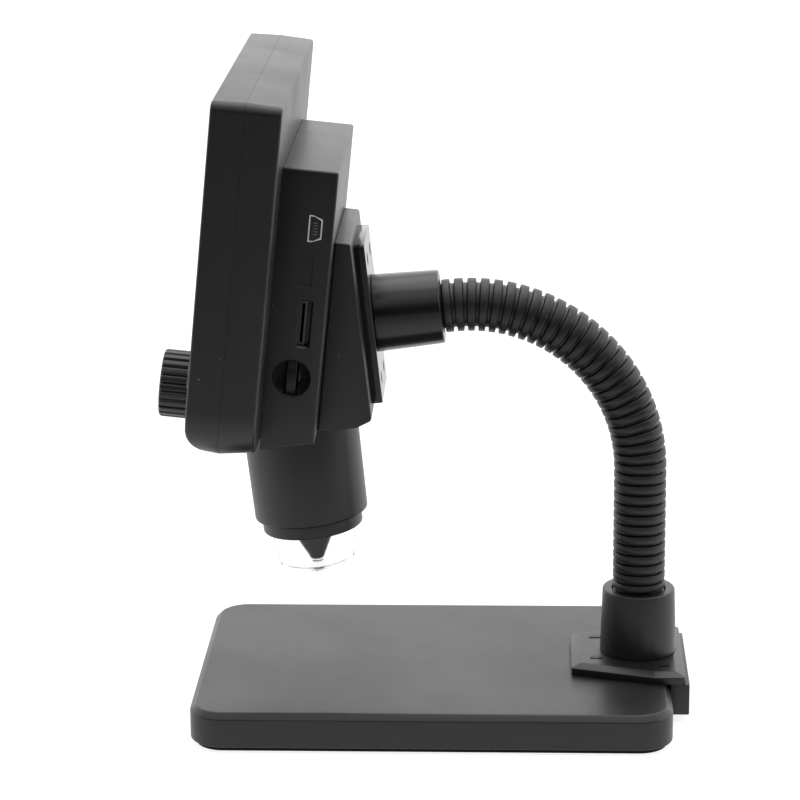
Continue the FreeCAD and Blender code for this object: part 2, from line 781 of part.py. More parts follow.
def dimmer_dial():
    x = dial_x()
    disc = rod_y(x, DIAL_Z, DIAL_R, DIAL_Y - DIAL_T / 2, DIAL_Y + DIAL_T / 2)
    cuts = []
    for n in range(DIAL_TEETH):
        a = 2 * math.pi * n / DIAL_TEETH
        tooth = box(-DIAL_CUT / 2, DIAL_CUT / 2, DIAL_Y - DIAL_T, DIAL_Y + DIAL_T, DIAL_R - 0.35, DIAL_R + 1)
        tooth.rotate(V(0, 0, 0), V(0, 1, 0), math.degrees(a))
        tooth.translate(V(x, 0, DIAL_Z))
        cuts.append(tooth)
    disc = disc.cut(Part.makeCompound(cuts))
    return place_head(disc.cut(rod_y(x, DIAL_Z, PIN_R + PIN_FIT, DIAL_Y - DIAL_T, DIAL_Y + DIAL_T)))


# wedge cover, its back parallel to the tube axis

def wedge_side(inset):
    t = math.radians(TWIST)
    back = WEDGE_BACK - inset
    front = mid_back()
    top = WEDGE_TOP - inset
    low = MID_BOTTOM + inset
    def screen(yb, zb):
        return yb * math.cos(t) - zb * math.sin(t), yb * math.sin(t) + zb * math.cos(t)
    y_top = (back + top * math.sin(t)) / math.cos(t)
    y_top = (back - top * math.sin(t)) / math.cos(t) if y_top < front else y_top
    low_z = (low + front * math.sin(t)) / math.cos(t)
    points = [(front, top), (y_top, top), screen(back, low + WEDGE_CUT), screen(back - WEDGE_CUT_D, low), (front, low_z)]
    return points


def wedge_cover():
    front = mid_back()
    body = prism_x(wedge_side(0), WEDGE_W / 2)
    hollow = prism_x(wedge_side(SKIN), WEDGE_W / 2 - SKIN)
    grown = hollow.copy()
    grown.translate(V(0, -1, 0))
    body = body.cut(hollow.fuse(grown).common(box(-50, 50, front - 1, front + 40, -130, 0)))
    t = tube_to_screen
    posts = [t(rod_y(x, z, SCREW_R + 1.5, WEDGE_BACK - SCREW_L - 1, WEDGE_BACK - SKIN / 2)) for x, z in plate_screw_places()]
    posts = Part.makeCompound(posts).common(box(-50, 50, front, front + 40, -130, 0))
    body = body.fuse(posts).removeSplitter()
    for x, z in plate_screw_places():
        body = body.cut(t(rod_y(x, z, SCREW_R + FIT, WEDGE_BACK - SCREW_L, WEDGE_BACK + 1)))
    return place_head(body)


# focus drive

def focus_knob():
    y0 = -KNOB_OUT
    y1 = -KNOB_GAP
    knob = rod_y(0, 0, KNOB_R, y0, y1)
    ends = [e for e in knob.Edges if e.BoundBox.YLength < 1e-6]
    knob = knob.makeChamfer(KNOB_EDGE, ends)
    cuts = []
    for n in range(KNOB_RIBS):
        a = 2 * math.pi * n / KNOB_RIBS
        cuts.append(rod_y(KNOB_R * math.cos(a), KNOB_R * math.sin(a), KNOB_CUT_R, y0 - 1, y1 + 1))
    knob = knob.cut(Part.makeCompound(cuts))
    knob = knob.cut(rod_y(0, 0, SHAFT_R, y0 + 3, y1 + 1))
    knob.translate(V(0, 0, KNOB_Z))
    return place_head(knob)


def involute(base, r):
    return math.sqrt((r / base) ** 2 - 1) - math.acos(base / r)


def pinion_outline():
    """Spur teeth with involute flanks, a space facing +X."""
    pitch = PINION_TEETH * MODULE / 2
    base = pitch * math.cos(math.radians(20))
    root = pitch - 1.15 * MODULE
    tip = pitch + 0.85 * MODULE
    half = math.pi / 2 / PINION_TEETH - TOOTH_PLAY / 2 / pitch
    zero = half + involute(base, pitch)
    radii = [base + (tip - base) * i / 3 for i in range(4)]
    points = []
    for n in range(PINION_TEETH):
        mid = 2 * math.pi * (n + 0.5) / PINION_TEETH
        flank = [(r, zero - involute(base, r)) for r in radii]
        side = [(root, mid - zero)] + [(r, mid - a) for r, a in flank]
        side += [(r, mid + a) for r, a in reversed(flank)] + [(root, mid + zero)]
        points += [V(r * math.cos(a), 0, r * math.sin(a)) for r, a in side]
    return points + points[:1]


def pinion_shaft():
    gear = Part.Face(Part.makePolygon(pinion_outline())).extrude(V(0, PINION_W, 0))
    gear.translate(V(0, PINION_Y, 0))
    shaft = union(gear, rod_y(0, 0, SHAFT_R, -KNOB_OUT + 3, SHAFT_END))
    shaft.translate(V(0, 0, KNOB_Z))
    return place_head(shaft)


def rack_outline():
    """Teeth along the screen's height at the pinion's pitch line, one facing the pinion's space."""
    pitch = PINION_TEETH * MODULE / 2
    step = math.pi * MODULE
    slope = math.tan(math.radians(20))
    tip = pitch - 0.85 * MODULE
    root = pitch + 1.15 * MODULE
    half_tip = step / 4 - TOOTH_PLAY / 4 - 0.85 * MODULE * slope
    half_root = step / 4 - TOOTH_PLAY / 4 + 1.15 * MODULE * slope
    points = []
    count = 9
    for n in range(-count, count + 1):
        z = KNOB_Z + n * step
        points += [(root, z - half_root), (tip, z - half_tip), (tip, z + half_tip), (root, z + half_root)]
    points += [(RACK_BACK, KNOB_Z + (count + 1) * step), (RACK_BACK, KNOB_Z - (count + 1) * step)]
    return [V(x, 0, z) for x, z in points + points[:1]]


def focus_rack():
    """Slanted bar on the lens carriage, its teeth cut along the pinion's axis."""
    comb = Part.Face(Part.makePolygon(rack_outline())).extrude(V(0, 60, 0))
    low = MID_BOTTOM - COMB_DROP
    bar = tube_to_screen(box(0, RACK_BACK, RACK_Y - RACK_D / 2, RACK_Y + RACK_D / 2, low, MID_BOTTOM + RACK_UP))
    toothed = comb.common(bar)
    stem = tube_to_screen(box(RACK_BACK - STEM_W, RACK_BACK, RACK_Y - RACK_D / 2, RACK_Y + RACK_D / 2, CARR_TOP, low + 1))
    return place_head(union(toothed, stem))


def shaft_bearing():
    low = MID_BOTTOM + SKIN
    body = tube_to_screen(box(-BEARING_W / 2, BEARING_W / 2, BEARING_Y, BEARING_Y + BEARING_D, low, MID_BOTTOM + BEARING_UP))
    return place_head(body.cut(rod_y(0, KNOB_Z, SHAFT_R + SHAFT_FIT, 15, 40)))


# optics, drawn in the tube frame with its axis upright

def on_axis(shape):
    shape.translate(V(0, AXIS_Y, 0))
    return place_head(tube_to_screen(shape))


def turned(points):
    """Solid of revolution from (radius, height) points."""
    face = Part.Face(Part.makePolygon([V(r, 0, z) for r, z in points + points[:1]]))
    return face.revolve(V(0, 0, 0), V(0, 0, 1), 360)


def tube_low():
    return MID_BOTTOM - TUBE_L


def lens_barrel():
    top = MID_BOTTOM
    body = turned([(0, top), (TUBE_R, top), (TUBE_LOW_R, tube_low()), (TUBE_BORE, tube_low()),
                   (TUBE_BORE, top - TUBE_LID), (0, top - TUBE_LID)])
    slot = box(RACK_BACK - 4.5, RACK_BACK + 1, RACK_Y - AXIS_Y - RACK_D / 2 - 1, RACK_Y - AXIS_Y + RACK_D / 2 + 1,
               top - TUBE_LID - 1, top + 1)
    return on_axis(body.cut(slot))


def barrel_ring():
    top = tube_low()
    return on_axis(turned([(RING_BORE, top - RING_L), (RING_R, top - RING_L), (RING_R, top + RING_SPIGOT),
                           (RING_BORE, top + RING_SPIGOT)]))


def led_board():
    z = tube_low() + RING_SPIGOT
    body = turned([(LENS_HOLE, z), (TUBE_BORE - 0.1, z), (TUBE_BORE - 0.1, z + LED_BOARD_T), (LENS_HOLE, z + LED_BOARD_T)])
    return on_axis(body)


def led_lamps():
    z = tube_low() + RING_SPIGOT
    lamps = []
    for n in range(LED_COUNT):
        one = box(-LED_W / 2, LED_W / 2, LED_RING_R - LED_W / 2, LED_RING_R + LED_W / 2, z - LED_H, z)
        one.rotate(V(0, 0, 0), V(0, 0, 1), 360.0 * n / LED_COUNT)
        lamps.append(one)
    return on_axis(Part.makeCompound(lamps))


def clear_cup():
    ring_low = tube_low() - RING_L
    top = ring_low + RING_L - 0.5
    low = ring_low - CUP_L
    r = RING_BORE - FIT
    w = CUP_WALL
    return on_axis(turned([(r - w, top), (r, top), (r, ring_low), (CUP_TIP_R, low), (HOOD_TIP_R, low),
                           (HOOD_TIP_R, low + w), (CUP_TIP_R - w, low + w), (r - w, ring_low)]))


def lens_hood():
    top = tube_low() + RING_SPIGOT
    low = tube_low() - RING_L - CUP_L + CUP_WALL + HOOD_GAP
    w = HOOD_WALL
    return on_axis(turned([(HOOD_R - 1.0 - w, top), (HOOD_R - 1.0, top), (HOOD_R - 1.0, top - 3),
                           (HOOD_TIP_R, low), (HOOD_TIP_R - w, low), (HOOD_R - 1.0 - w, top - 3)]))


def lens_carriage():
    top = CARR_TOP
    low = CARR_TOP - CARR_L
    w = CARR_WALL
    body = turned([(0, top), (CARR_R, top), (CARR_R, low), (CARR_R - w, low), (CARR_R - w, top - CARR_LID), (0, top - CARR_LID)])
    return on_axis(body)


def sensor_board():
    top = CARR_TOP - CARR_LID
    return on_axis(turned([(0, top), (CARR_R - CARR_WALL - 1, top), (CARR_R - CARR_WALL - 1, top - BOARD_T), (0, top - BOARD_T)]))


def lens_cell():
    top = CARR_TOP - CARR_LID - BOARD_T
    low = top - 12.0
    return on_axis(turned([(5, top), (HOLDER_R, top), (HOLDER_R, top - 3), (CELL_R, top - 3), (CELL_R, low),
                           (LENS_R + FIT, low), (LENS_R + FIT, low + 2), (3, low + 2), (3, top - 1), (5, top - 1)]))


def lens_glass():
    low = CARR_TOP - CARR_LID - BOARD_T - 12.0
    return on_axis(turned([(0, low + 0.4), (LENS_R, low + 0.6), (LENS_R, low + 2), (0, low + 2)]))


def pieces():
    made = {
        "base_shell": base_shell, "base_ballast": base_ballast, "base_pad": base_pad,
        "foot_plate": foot_plate, "foot_screws": foot_screws, "lower_socket": lower_socket,
        "upper_socket": upper_socket, "head_plate": head_plate, "plate_screws": plate_screws,
        "lcd_front_shell": lcd_front_shell, "lcd_rear_shell": lcd_rear_shell, "lcd_panel": lcd_panel,
        "screen_window": screen_window, "key_board": key_board, "battery_cell": battery_cell,
        "mid_housing": mid_housing, "main_board": main_board, "usb_socket": usb_socket,
        "card_socket": card_socket, "dimmer_pot": dimmer_pot, "dimmer_dial": dimmer_dial,
        "wedge_cover": wedge_cover, "focus_knob": focus_knob, "pinion_shaft": pinion_shaft,
        "focus_rack": focus_rack, "shaft_bearing": shaft_bearing, "lens_barrel": lens_barrel,
        "barrel_ring": barrel_ring, "led_board": led_board, "led_lamps": led_lamps,
        "clear_cup": clear_cup, "lens_hood": lens_hood, "lens_carriage": lens_carriage,
        "sensor_board": sensor_board, "lens_cell": lens_cell, "lens_glass": lens_glass,
    }
    for name, build in made.items():
        yield name, build()
    for index in range(len(NECK_CUTS) + 1):
        yield "neck_sleeve_%d" % index, neck_sleeve(index)
        yield "neck_link_%d" % index, neck_link(index)
    for n, x in enumerate(key_places(), 1):
        yield "key_%d" % n, key_cap(x)


def main():
    os.makedirs("parts", exist_ok=True)
    for name, shape in pieces():
        shape.exportStep("parts/%s.step" % name)
    print("head origin", head_origin(), "neck rise", round(NECK_RISE, 2))


main()
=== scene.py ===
"""Desktop digital microscope: a screen head with a lens tube, on a ribbed neck over a flat base.

Lengths in the property groups are millimetres, and every mesh is written in metres.
+Z is up, -Y is the screen side and +X the side with the sockets.
"""
import functools
import json
import math

import bmesh
import bpy
import numpy as np
from bpy.props import FloatProperty, FloatVectorProperty, IntProperty, PointerProperty
from mathutils import Matrix, Vector


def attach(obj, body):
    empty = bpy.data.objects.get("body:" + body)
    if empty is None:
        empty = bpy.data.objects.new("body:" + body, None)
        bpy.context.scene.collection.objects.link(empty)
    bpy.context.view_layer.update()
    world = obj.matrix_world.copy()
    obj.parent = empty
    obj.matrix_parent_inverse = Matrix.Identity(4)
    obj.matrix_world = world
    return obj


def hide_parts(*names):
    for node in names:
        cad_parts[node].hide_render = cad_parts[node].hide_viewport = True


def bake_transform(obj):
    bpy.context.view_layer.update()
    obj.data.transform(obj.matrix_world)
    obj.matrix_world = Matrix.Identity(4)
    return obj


bl_info = {
    "name": "Desktop Microscope Builder",
    "version": (1, 0, 0),
    "blender": (4, 5, 0),
    "location": "View3D > Sidebar > Microscope",
    "description": "Builds the pieces of a desktop digital microscope round its packed frame",
    "category": "Add Mesh",
}

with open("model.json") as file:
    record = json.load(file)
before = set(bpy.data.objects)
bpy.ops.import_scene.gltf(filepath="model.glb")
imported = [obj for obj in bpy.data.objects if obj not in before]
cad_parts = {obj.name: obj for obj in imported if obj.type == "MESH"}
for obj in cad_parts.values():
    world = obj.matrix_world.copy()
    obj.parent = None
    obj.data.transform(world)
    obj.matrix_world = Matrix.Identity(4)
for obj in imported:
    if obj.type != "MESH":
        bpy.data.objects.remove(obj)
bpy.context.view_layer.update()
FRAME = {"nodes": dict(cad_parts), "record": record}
RECORD = FRAME["record"]
JOINTS = {joint["name"]: joint for joint in RECORD["behaviour"]["joints"]}

MM = 0.001
# Angle between faces, in degrees, from which an edge stays sharp
CREASE = 32.0

# The neck's ribs, and the ribs at which it bends
NECK_RIBS = 38
NECK_CUTS = (3, 8, 13, 19, 25, 30, 35)

# Places on the screen housing and the port housing, in mm in the screen frame
KEY_PLACES = (-48.0, -34.0, -20.0, 20.0, 34.0, 48.0)
SOCKET_Y, SOCKET_Z = 27.9, -37.4
DIAL_X, DIAL_Y, DIAL_Z = 29.5, 26.9, -81.0
DIAL_R = 8.0

# Plate screws, in mm: their sizes, and their places from the base's back edge and from the neck's seat
SCREW_R, SCREW_HEAD, SCREW_SHANK, SCREW_LENGTH = 1.85, 1.3, 1.0, 5.8
SCREW_SUNK = 0.03
FOOT_SCREWS = ((8.8, -21.6), (-8.8, -21.6), (15.0, -1.9), (-15.0, -1.9))
HEAD_SCREWS = ((-6.3, -17.8), (-6.3, 17.8), (6.3, -17.8), (6.3, 17.8))


# Frames

def head_frame():
    """Screen frame as a rotation matrix and an origin in mm, read from the focus knob's hinge."""
    joint = JOINTS["focus_turn"]
    back = np.array(joint["axis"], float)
    back /= np.linalg.norm(back)
    up = np.array([0.0, -back[2], back[1]])
    rotation = np.column_stack([[1.0, 0.0, 0.0], back, up])
    sizes = bpy.context.scene.scope_head
    origin = np.array(joint["pos_m"], float) / MM - rotation @ np.array([0.0, 0.0, sizes.knob_z])
    return rotation, origin


def turn_x(degrees):
    """Matrix of a turn about X."""
    a = math.radians(degrees)
    return np.array([[1, 0, 0], [0, math.cos(a), -math.sin(a)], [0, math.sin(a), math.cos(a)]])


def in_screen(points):
    """Points of the screen frame, in row-frame millimetres."""
    rotation, origin = head_frame()
    return points @ rotation.T + origin


def in_tube(points):
    """Points of the lens tube's frame, which is turned by the twist about X, in row-frame millimetres."""
    return in_screen(points @ turn_x(bpy.context.scene.scope_head.twist).T)


def on_tube_back(points):
    """Points drawn as (x, height, depth) in the lens tube's frame, in row-frame millimetres."""
    return in_tube(along_y(points))


def as_is(points):
    """Points that are drawn where they stand."""
    return points


# Outlines and surfaces

def soften(points, radii, steps=5, closed=True):
    """Outline with each corner replaced by a circular arc of its radius, as steps + 1 points.

    The arc touches both sides at radius times the tangent of half the turn from the corner.
    """
    p = np.asarray(points, float)
    n = len(p)
    radii = np.broadcast_to(np.asarray(radii, float), (n,))
    a = np.roll(p, 1, axis=0) - p
    b = np.roll(p, -1, axis=0) - p
    la = np.linalg.norm(a, axis=1)
    lb = np.linalg.norm(b, axis=1)
    ua = a / np.maximum(la, 1e-9)[:, None]
    ub = b / np.maximum(lb, 1e-9)[:, None]
    turn = math.pi - np.arccos(np.clip((ua * ub).sum(1), -1, 1))
    reach = np.minimum(radii * np.tan(turn / 2), 0.49 * np.minimum(la, lb))
    radius = reach / np.maximum(np.tan(turn / 2), 1e-9)
    start = p + ua * reach[:, None]
    bisector = ua + ub
    bisector /= np.maximum(np.linalg.norm(bisector, axis=1), 1e-9)[:, None]
    centre = p + bisector * (radius / np.maximum(np.cos(turn / 2), 1e-9))[:, None]
    t = np.linspace(0, 1, steps + 1)
    sign = np.sign(a[:, 0] * b[:, 1] - a[:, 1] * b[:, 0])
    angle = -sign[:, None] * turn[:, None] * t
    arm = start - centre
    c, s = np.cos(angle), np.sin(angle)
    x = centre[:, 0, None] + arm[:, 0, None] * c - arm[:, 1, None] * s
    y = centre[:, 1, None] + arm[:, 0, None] * s + arm[:, 1, None] * c
    arcs = np.stack([x, y], axis=2)
    if closed:
        return arcs.reshape(-1, 2)
    inner = arcs[1:-1].reshape(-1, 2)
    return np.vstack([p[:1], inner, p[-1:]])


def offset(points, inset):
    """Convex outline moved inwards: each side by inset, corners where the moved sides meet."""
    p = np.asarray(points, float)
    area = np.sum(p[:, 0] * np.roll(p[:, 1], -1) - np.roll(p[:, 0], -1) * p[:, 1])
    side = np.roll(p, -1, axis=0) - p
    side /= np.linalg.norm(side, axis=1)[:, None]
    normal = np.stack([-side[:, 1], side[:, 0]], axis=1) * np.sign(area)
    before = np.roll(normal, 1, axis=0)
    cosine = 1 + (before * normal).sum(1)
    return p + inset * (before + normal) / cosine[:, None]


def rings_of(points, radii, rows, steps=6):
    """Stack of rings (depth, inset): the outline moved inwards, its corners rounded, at each depth."""
    radii = np.broadcast_to(np.asarray(radii, float), (len(points),))
    rings = []
    for depth, inset in rows:
        flat = soften(offset(points, inset), np.maximum(radii - inset, 0.15), steps)
        rings.append(np.column_stack([flat, np.full(len(flat), depth)]))
    return np.stack(rings)


def rectangle(half_w, low, high):
    """Corners of a rectangle centred on the upright axis."""
    return [(-half_w, low), (half_w, low), (half_w, high), (-half_w, high)]


def edge_rows(depth0, depth1, round0, round1, inset0=0.0, inset1=0.0, steps=4):
    """Rows (depth, inset) of a prism's side, with a quarter circle of its own radius at each end.

    depth = end + radius (1 - sin a) inwards and inset = base + radius (1 - cos a).
    """
    t = np.linspace(0, math.pi / 2, steps + 1)
    sign = 1.0 if depth1 > depth0 else -1.0

    def quarter(depth, inward, radius, inset, angles):
        """Rows of one end's quarter circle."""
        return [(depth + inward * radius * (1 - math.sin(a)), inset + radius * (1 - math.cos(a)))
                for a in angles]

    return quarter(depth0, sign, round0, inset0, t[::-1]) + quarter(depth1, -sign, round1, inset1, t)


def grid_faces(rows, columns, wrap_rows=False):
    """Quads of a grid whose columns close on themselves."""
    i = np.arange(rows if wrap_rows else rows - 1)[:, None]
    j = np.arange(columns)[None, :]
    k = (j + 1) % columns
    up = (i + 1) % rows
    faces = np.stack([i * columns + j, i * columns + k, up * columns + k, up * columns + j], axis=-1)
    return faces.reshape(-1, 4).tolist()


def add_piece(name, shells, body, finish, place=as_is, smooth=CREASE, replaces=()):
    """Mesh object from (points, faces) shells in mm, smooth except over edges sharper than smooth."""
    verts = []
    faces = []
    for points, shell_faces in shells:
        base = sum(len(v) for v in verts)
        verts.append(np.asarray(points, float).reshape(-1, 3))
        faces += [[base + i for i in face] for face in shell_faces]
    mesh = bpy.data.meshes.new(name)
    mesh.from_pydata((place(np.vstack(verts)) * MM).tolist(), [], faces)
    mesh.validate()
    fix_normals(mesh)
    mesh.shade_smooth()
    mesh.set_sharp_from_angle(angle=math.radians(smooth))
    piece = bpy.data.objects.new(name, mesh)
    bpy.context.scene.collection.objects.link(piece)
    if finish is not None:
        mesh.materials.append(finish)
    if body is not None:
        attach(piece, body)
    if replaces:
        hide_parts(*replaces)
    return piece


def fix_normals(mesh):
    """Merges doubled points and turns every face outwards."""
    work = bmesh.new()
    work.from_mesh(mesh)
    bmesh.ops.remove_doubles(work, verts=work.verts, dist=1e-7)
    bmesh.ops.recalc_face_normals(work, faces=work.faces)
    work.to_mesh(mesh)
    work.free()


def stack_shell(rings, cap_low=True, cap_high=True, wrap_rows=False):
    """Surface through a stack of rings of equal point counts, closed by flat faces at its ends."""
    m, n = rings.shape[:2]
    faces = grid_faces(m, n, wrap_rows)
    if cap_low:
        faces.append(list(range(n))[::-1])
    if cap_high:
        faces.append([(m - 1) * n + j for j in range(n)])
    return rings.reshape(-1, 3), faces


def along_y(points):
    """Points drawn as (x, z, depth) turned so that depth runs along Y."""
    return points[..., [0, 2, 1]]


def along_x(points):
    """Points drawn as (y, z, depth) turned so that depth runs along X."""
    return points[..., [2, 0, 1]]


def prism(turned, outline, radii, rows, steps):
    """Closed solid through the rings of an outline, its depth turned to run along another axis."""
    return stack_shell(turned(rings_of(outline, radii, rows, steps)))


def spun(profile, around=64, closed=False, ripple=None):
    """Surface of revolution about Z: point = (r cos a, r sin a, z) for (r, z) on the profile.

    ripple(a, r) may give a change of r.
    """
    line = np.asarray(profile, float)
    a = np.linspace(0, 2 * math.pi, around, endpoint=False)
    r = np.repeat(line[:, 0, None], around, axis=1)
    z = np.repeat(line[:, 1, None], around, axis=1)
    if ripple is not None:
        r = r + ripple(a[None, :], r)
    points = np.stack([r * np.cos(a), r * np.sin(a), z], axis=2)
    closes_low = not closed and line[0, 0] < 1e-6
    closes_high = not closed and line[-1, 0] < 1e-6
    if closes_low:
        points = points[1:]
    if closes_high:
        points = points[:-1]
    return stack_shell(points, closes_low, closes_high, closed)


def spun_y(profile, centre, **options):
    """Surface of revolution whose axis runs along Y through centre, with profile (radius, y)."""
    points, faces = moved(spun(profile, **options), (*centre, 0.0))
    return along_y(points), faces


def spun_x(profile, centre, **options):
    """Surface of revolution whose axis runs along X through centre (y, z), with profile (radius, x)."""
    points, faces = moved(spun(profile, **options), (*centre, 0.0))
    return along_x(points), faces


def moved(shell, shift):
    """Shell with the shift added to every point."""
    return shell[0] + np.asarray(shift, float), shell[1]


def carve(piece, cutters):
    """Takes the cutters' closed meshes out of a piece, then drops them."""
    for cutter in cutters:
        modifier = piece.modifiers.new("cut", "BOOLEAN")
        modifier.operation = "DIFFERENCE"
        modifier.solver = "EXACT"
        modifier.object = cutter
        bpy.context.view_layer.update()
        graph = bpy.context.evaluated_depsgraph_get()
        carved = bpy.data.meshes.new_from_object(piece.evaluated_get(graph))
        piece.modifiers.clear()
        old = piece.data
        piece.data = carved
        bpy.data.meshes.remove(old)
    for cutter in cutters:
        mesh = cutter.data
        bpy.data.objects.remove(cutter)
        bpy.data.meshes.remove(mesh)
    piece.data.shade_smooth()
    piece.data.set_sharp_from_angle(angle=math.radians(CREASE))


def cutter(name, shell, place=as_is):
    """Mesh that carve takes out of a piece."""
    return add_piece("cut_" + name, [shell], None, None, place)


# Finishes

def node_group(name, inputs, outputs):
    """Empty shader group with the named float, colour and vector sockets."""
    group = bpy.data.node_groups.new(name, "ShaderNodeTree")
    for label, kind, default in inputs:
        item = group.interface.new_socket(name=label, in_out="INPUT", socket_type=kind)
        if default is not None:
            item.default_value = default
    for label, kind in outputs:
        group.interface.new_socket(name=label, in_out="OUTPUT", socket_type=kind)
    return group, group.nodes.new("NodeGroupInput"), group.nodes.new("NodeGroupOutput")


def feed(tree, node, inputs):
    """Sets each input of a node, by name or number, to a value or links it to a socket."""
    for label, value in inputs.items():
        if isinstance(value, bpy.types.NodeSocket):
            tree.links.new(value, node.inputs[label])
        else:
            node.inputs[label].default_value = value


def add_node(tree, kind, inputs):
    """New node with its inputs fed."""
    node = tree.nodes.new(kind)
    feed(tree, node, inputs)
    return node


def math_node(tree, operation, a, b, clamp=False):
    """Math node on two values or sockets."""
    node = add_node(tree, "ShaderNodeMath", {0: a, 1: b})
    node.operation = operation
    node.use_clamp = clamp
    return node.outputs[0]


def noise_node(tree, vector, scale, detail=2.0, roughness=0.5):
    """Noise whose patches are about 1 / scale metres wide."""
    inputs = {"Vector": vector, "Scale": scale, "Detail": detail, "Roughness": roughness}
    return add_node(tree, "ShaderNodeTexNoise", inputs).outputs["Fac"]


def ramp_node(tree, value, low, high, out_low=0.0, out_high=1.0):
    """Straight ramp from out_low at low to out_high at high, level outside them."""
    inputs = {"Value": value, "From Min": low, "From Max": high, "To Min": out_low, "To Max": out_high}
    return add_node(tree, "ShaderNodeMapRange", inputs).outputs["Result"]


def mix_colour(tree, factor, a, b):
    """Mix of two colours or sockets by a factor."""
    node = tree.nodes.new("ShaderNodeMix")
    node.data_type = "RGBA"
    feed(tree, node, {"Factor": factor, 6: a, 7: b})
    return node.outputs[2]


def made_once(make):
    """Material functions give back the material that already has the name they are asked for."""
    @functools.wraps(make)
    def finish(name, *values, **named):
        return bpy.data.materials.get(name) or make(name, *values, **named)
    return finish


def moulded_group():
    """Moulded or painted black surface: spark-eroded grain, faint haze and specks of dust."""
    if "moulded surface" in bpy.data.node_groups:
        return bpy.data.node_groups["moulded surface"]
    group, into, out = node_group(
        "moulded surface",
        [("Vector", "NodeSocketVector", None), ("Colour", "NodeSocketColor", (0.02, 0.02, 0.02, 1)),
         ("Roughness", "NodeSocketFloat", 0.4), ("Grain", "NodeSocketFloat", 0.5),
         ("Dust", "NodeSocketFloat", 0.3), ("Haze", "NodeSocketFloat", 0.3)],
        [("Colour", "NodeSocketColor"), ("Roughness", "NodeSocketFloat"), ("Height", "NodeSocketFloat")])
    vector = into.outputs["Vector"]
    grain = noise_node(group, vector, 2600.0, 3.0, 0.6)
    haze = noise_node(group, vector, 26.0, 4.0, 0.6)
    specks = add_node(group, "ShaderNodeTexVoronoi", {"Vector": vector, "Scale": 330.0})
    sparse = ramp_node(group, noise_node(group, vector, 75.0, 2.0), 0.60, 0.68)
    dot = ramp_node(group, specks.outputs["Distance"], 0.085, 0.05)
    dust = math_node(group, "MULTIPLY", math_node(group, "MULTIPLY", dot, sparse), into.outputs["Dust"], True)
    soft = math_node(group, "MULTIPLY", ramp_node(group, haze, 0.42, 0.72), into.outputs["Haze"], True)
    veil = math_node(group, "MULTIPLY", soft, 0.03)
    hazed = mix_colour(group, veil, into.outputs["Colour"], (0.5, 0.5, 0.5, 1))
    dusty = mix_colour(group, dust, hazed, (0.55, 0.54, 0.52, 1))
    rough = math_node(group, "ADD", into.outputs["Roughness"], math_node(group, "MULTIPLY", soft, 0.22))
    rough = math_node(group, "ADD", rough, math_node(group, "MULTIPLY", dust, 0.4), True)
    height = math_node(group, "MULTIPLY", grain, into.outputs["Grain"])
    feed(group, out, {"Colour": dusty, "Roughness": rough, "Height": height})
    return group


def new_material(name):
    """Material, its node tree, its shader and the Object coordinates' socket."""
    material = bpy.data.materials.new(name)
    material.use_nodes = True
    tree = material.node_tree
    shader = tree.nodes["Principled BSDF"]
    coordinates = tree.nodes.new("ShaderNodeTexCoord")
    return material, tree, shader, coordinates.outputs["Object"]


@made_once
def moulded(name, colour, roughness, grain=0.5, dust=0.3, haze=0.3, bump=0.02, specular=0.5):
    """Material with the moulded surface group in it, at its own values."""
    material, tree, shader, place = new_material(name)
    node = tree.nodes.new("ShaderNodeGroup")
    node.node_tree = moulded_group()
    feed(tree, node, {"Vector": place, "Colour": (*colour, 1.0), "Roughness": roughness, "Grain": grain,
                      "Dust": dust, "Haze": haze})
    relief = {"Strength": 0.5, "Distance": bump * MM, "Height": node.outputs["Height"]}
    feed(tree, shader, {
        "Base Color": node.outputs["Colour"],
        "Roughness": node.outputs["Roughness"],
        "Normal": add_node(tree, "ShaderNodeBump", relief).outputs["Normal"],
        "Specular IOR Level": specular,
    })
    return material


@made_once
def brushed(name, colour, roughness):
    """Bright or dull steel with fine lines drawn along X."""
    material, tree, shader, place = new_material(name)
    mapping = add_node(tree, "ShaderNodeMapping", {"Vector": place, "Scale": (40.0, 900.0, 900.0)})
    lines = noise_node(tree, mapping.outputs["Vector"], 1.0, 3.0)
    worn = ramp_node(tree, lines, 0.3, 0.7, roughness - 0.06, roughness + 0.1)
    feed(tree, shader, {"Base Color": (*colour, 1.0), "Metallic": 1.0, "Roughness": worn})
    return material


@made_once
def clear_plastic(name, colour, roughness, ior=1.49, smears=0.08):
    """Clear or smoked plastic whose roughness varies where it has been touched."""
    material, tree, shader, place = new_material(name)
    smear = noise_node(tree, place, 160.0, 3.0)
    smeared = ramp_node(tree, smear, 0.3, 0.8, roughness, roughness + smears)
    feed(tree, shader, {"Base Color": (*colour, 1.0), "Transmission Weight": 1.0, "IOR": ior,
                        "Roughness": smeared})
    return material


@made_once
def circuit(name, colour):
    """Solder mask with a brick pattern of darker lines, as of copper tracks under it."""
    material, tree, shader, place = new_material(name)
    brick = {"Vector": place, "Scale": 220.0, "Mortar Size": 0.018}
    lines = add_node(tree, "ShaderNodeTexBrick", brick).outputs["Fac"]
    shade = tuple(0.55 * c for c in colour) + (1.0,)
    feed(tree, shader, {"Base Color": mix_colour(tree, lines, (*colour, 1.0), shade), "Roughness": 0.35})
    return material


@made_once
def glowing(name, colour, strength):
    """Faintly lit lamp with fine flecks."""
    material, tree, shader, place = new_material(name)
    fleck = noise_node(tree, place, 900.0, 2.0)
    tint = tuple(0.85 * c for c in colour) + (1.0,)
    feed(tree, shader, {
        "Base Color": mix_colour(tree, fleck, (*colour, 1.0), tint),
        "Roughness": 0.3,
        "Emission Color": (*colour, 1.0),
        "Emission Strength": strength,
    })
    return material


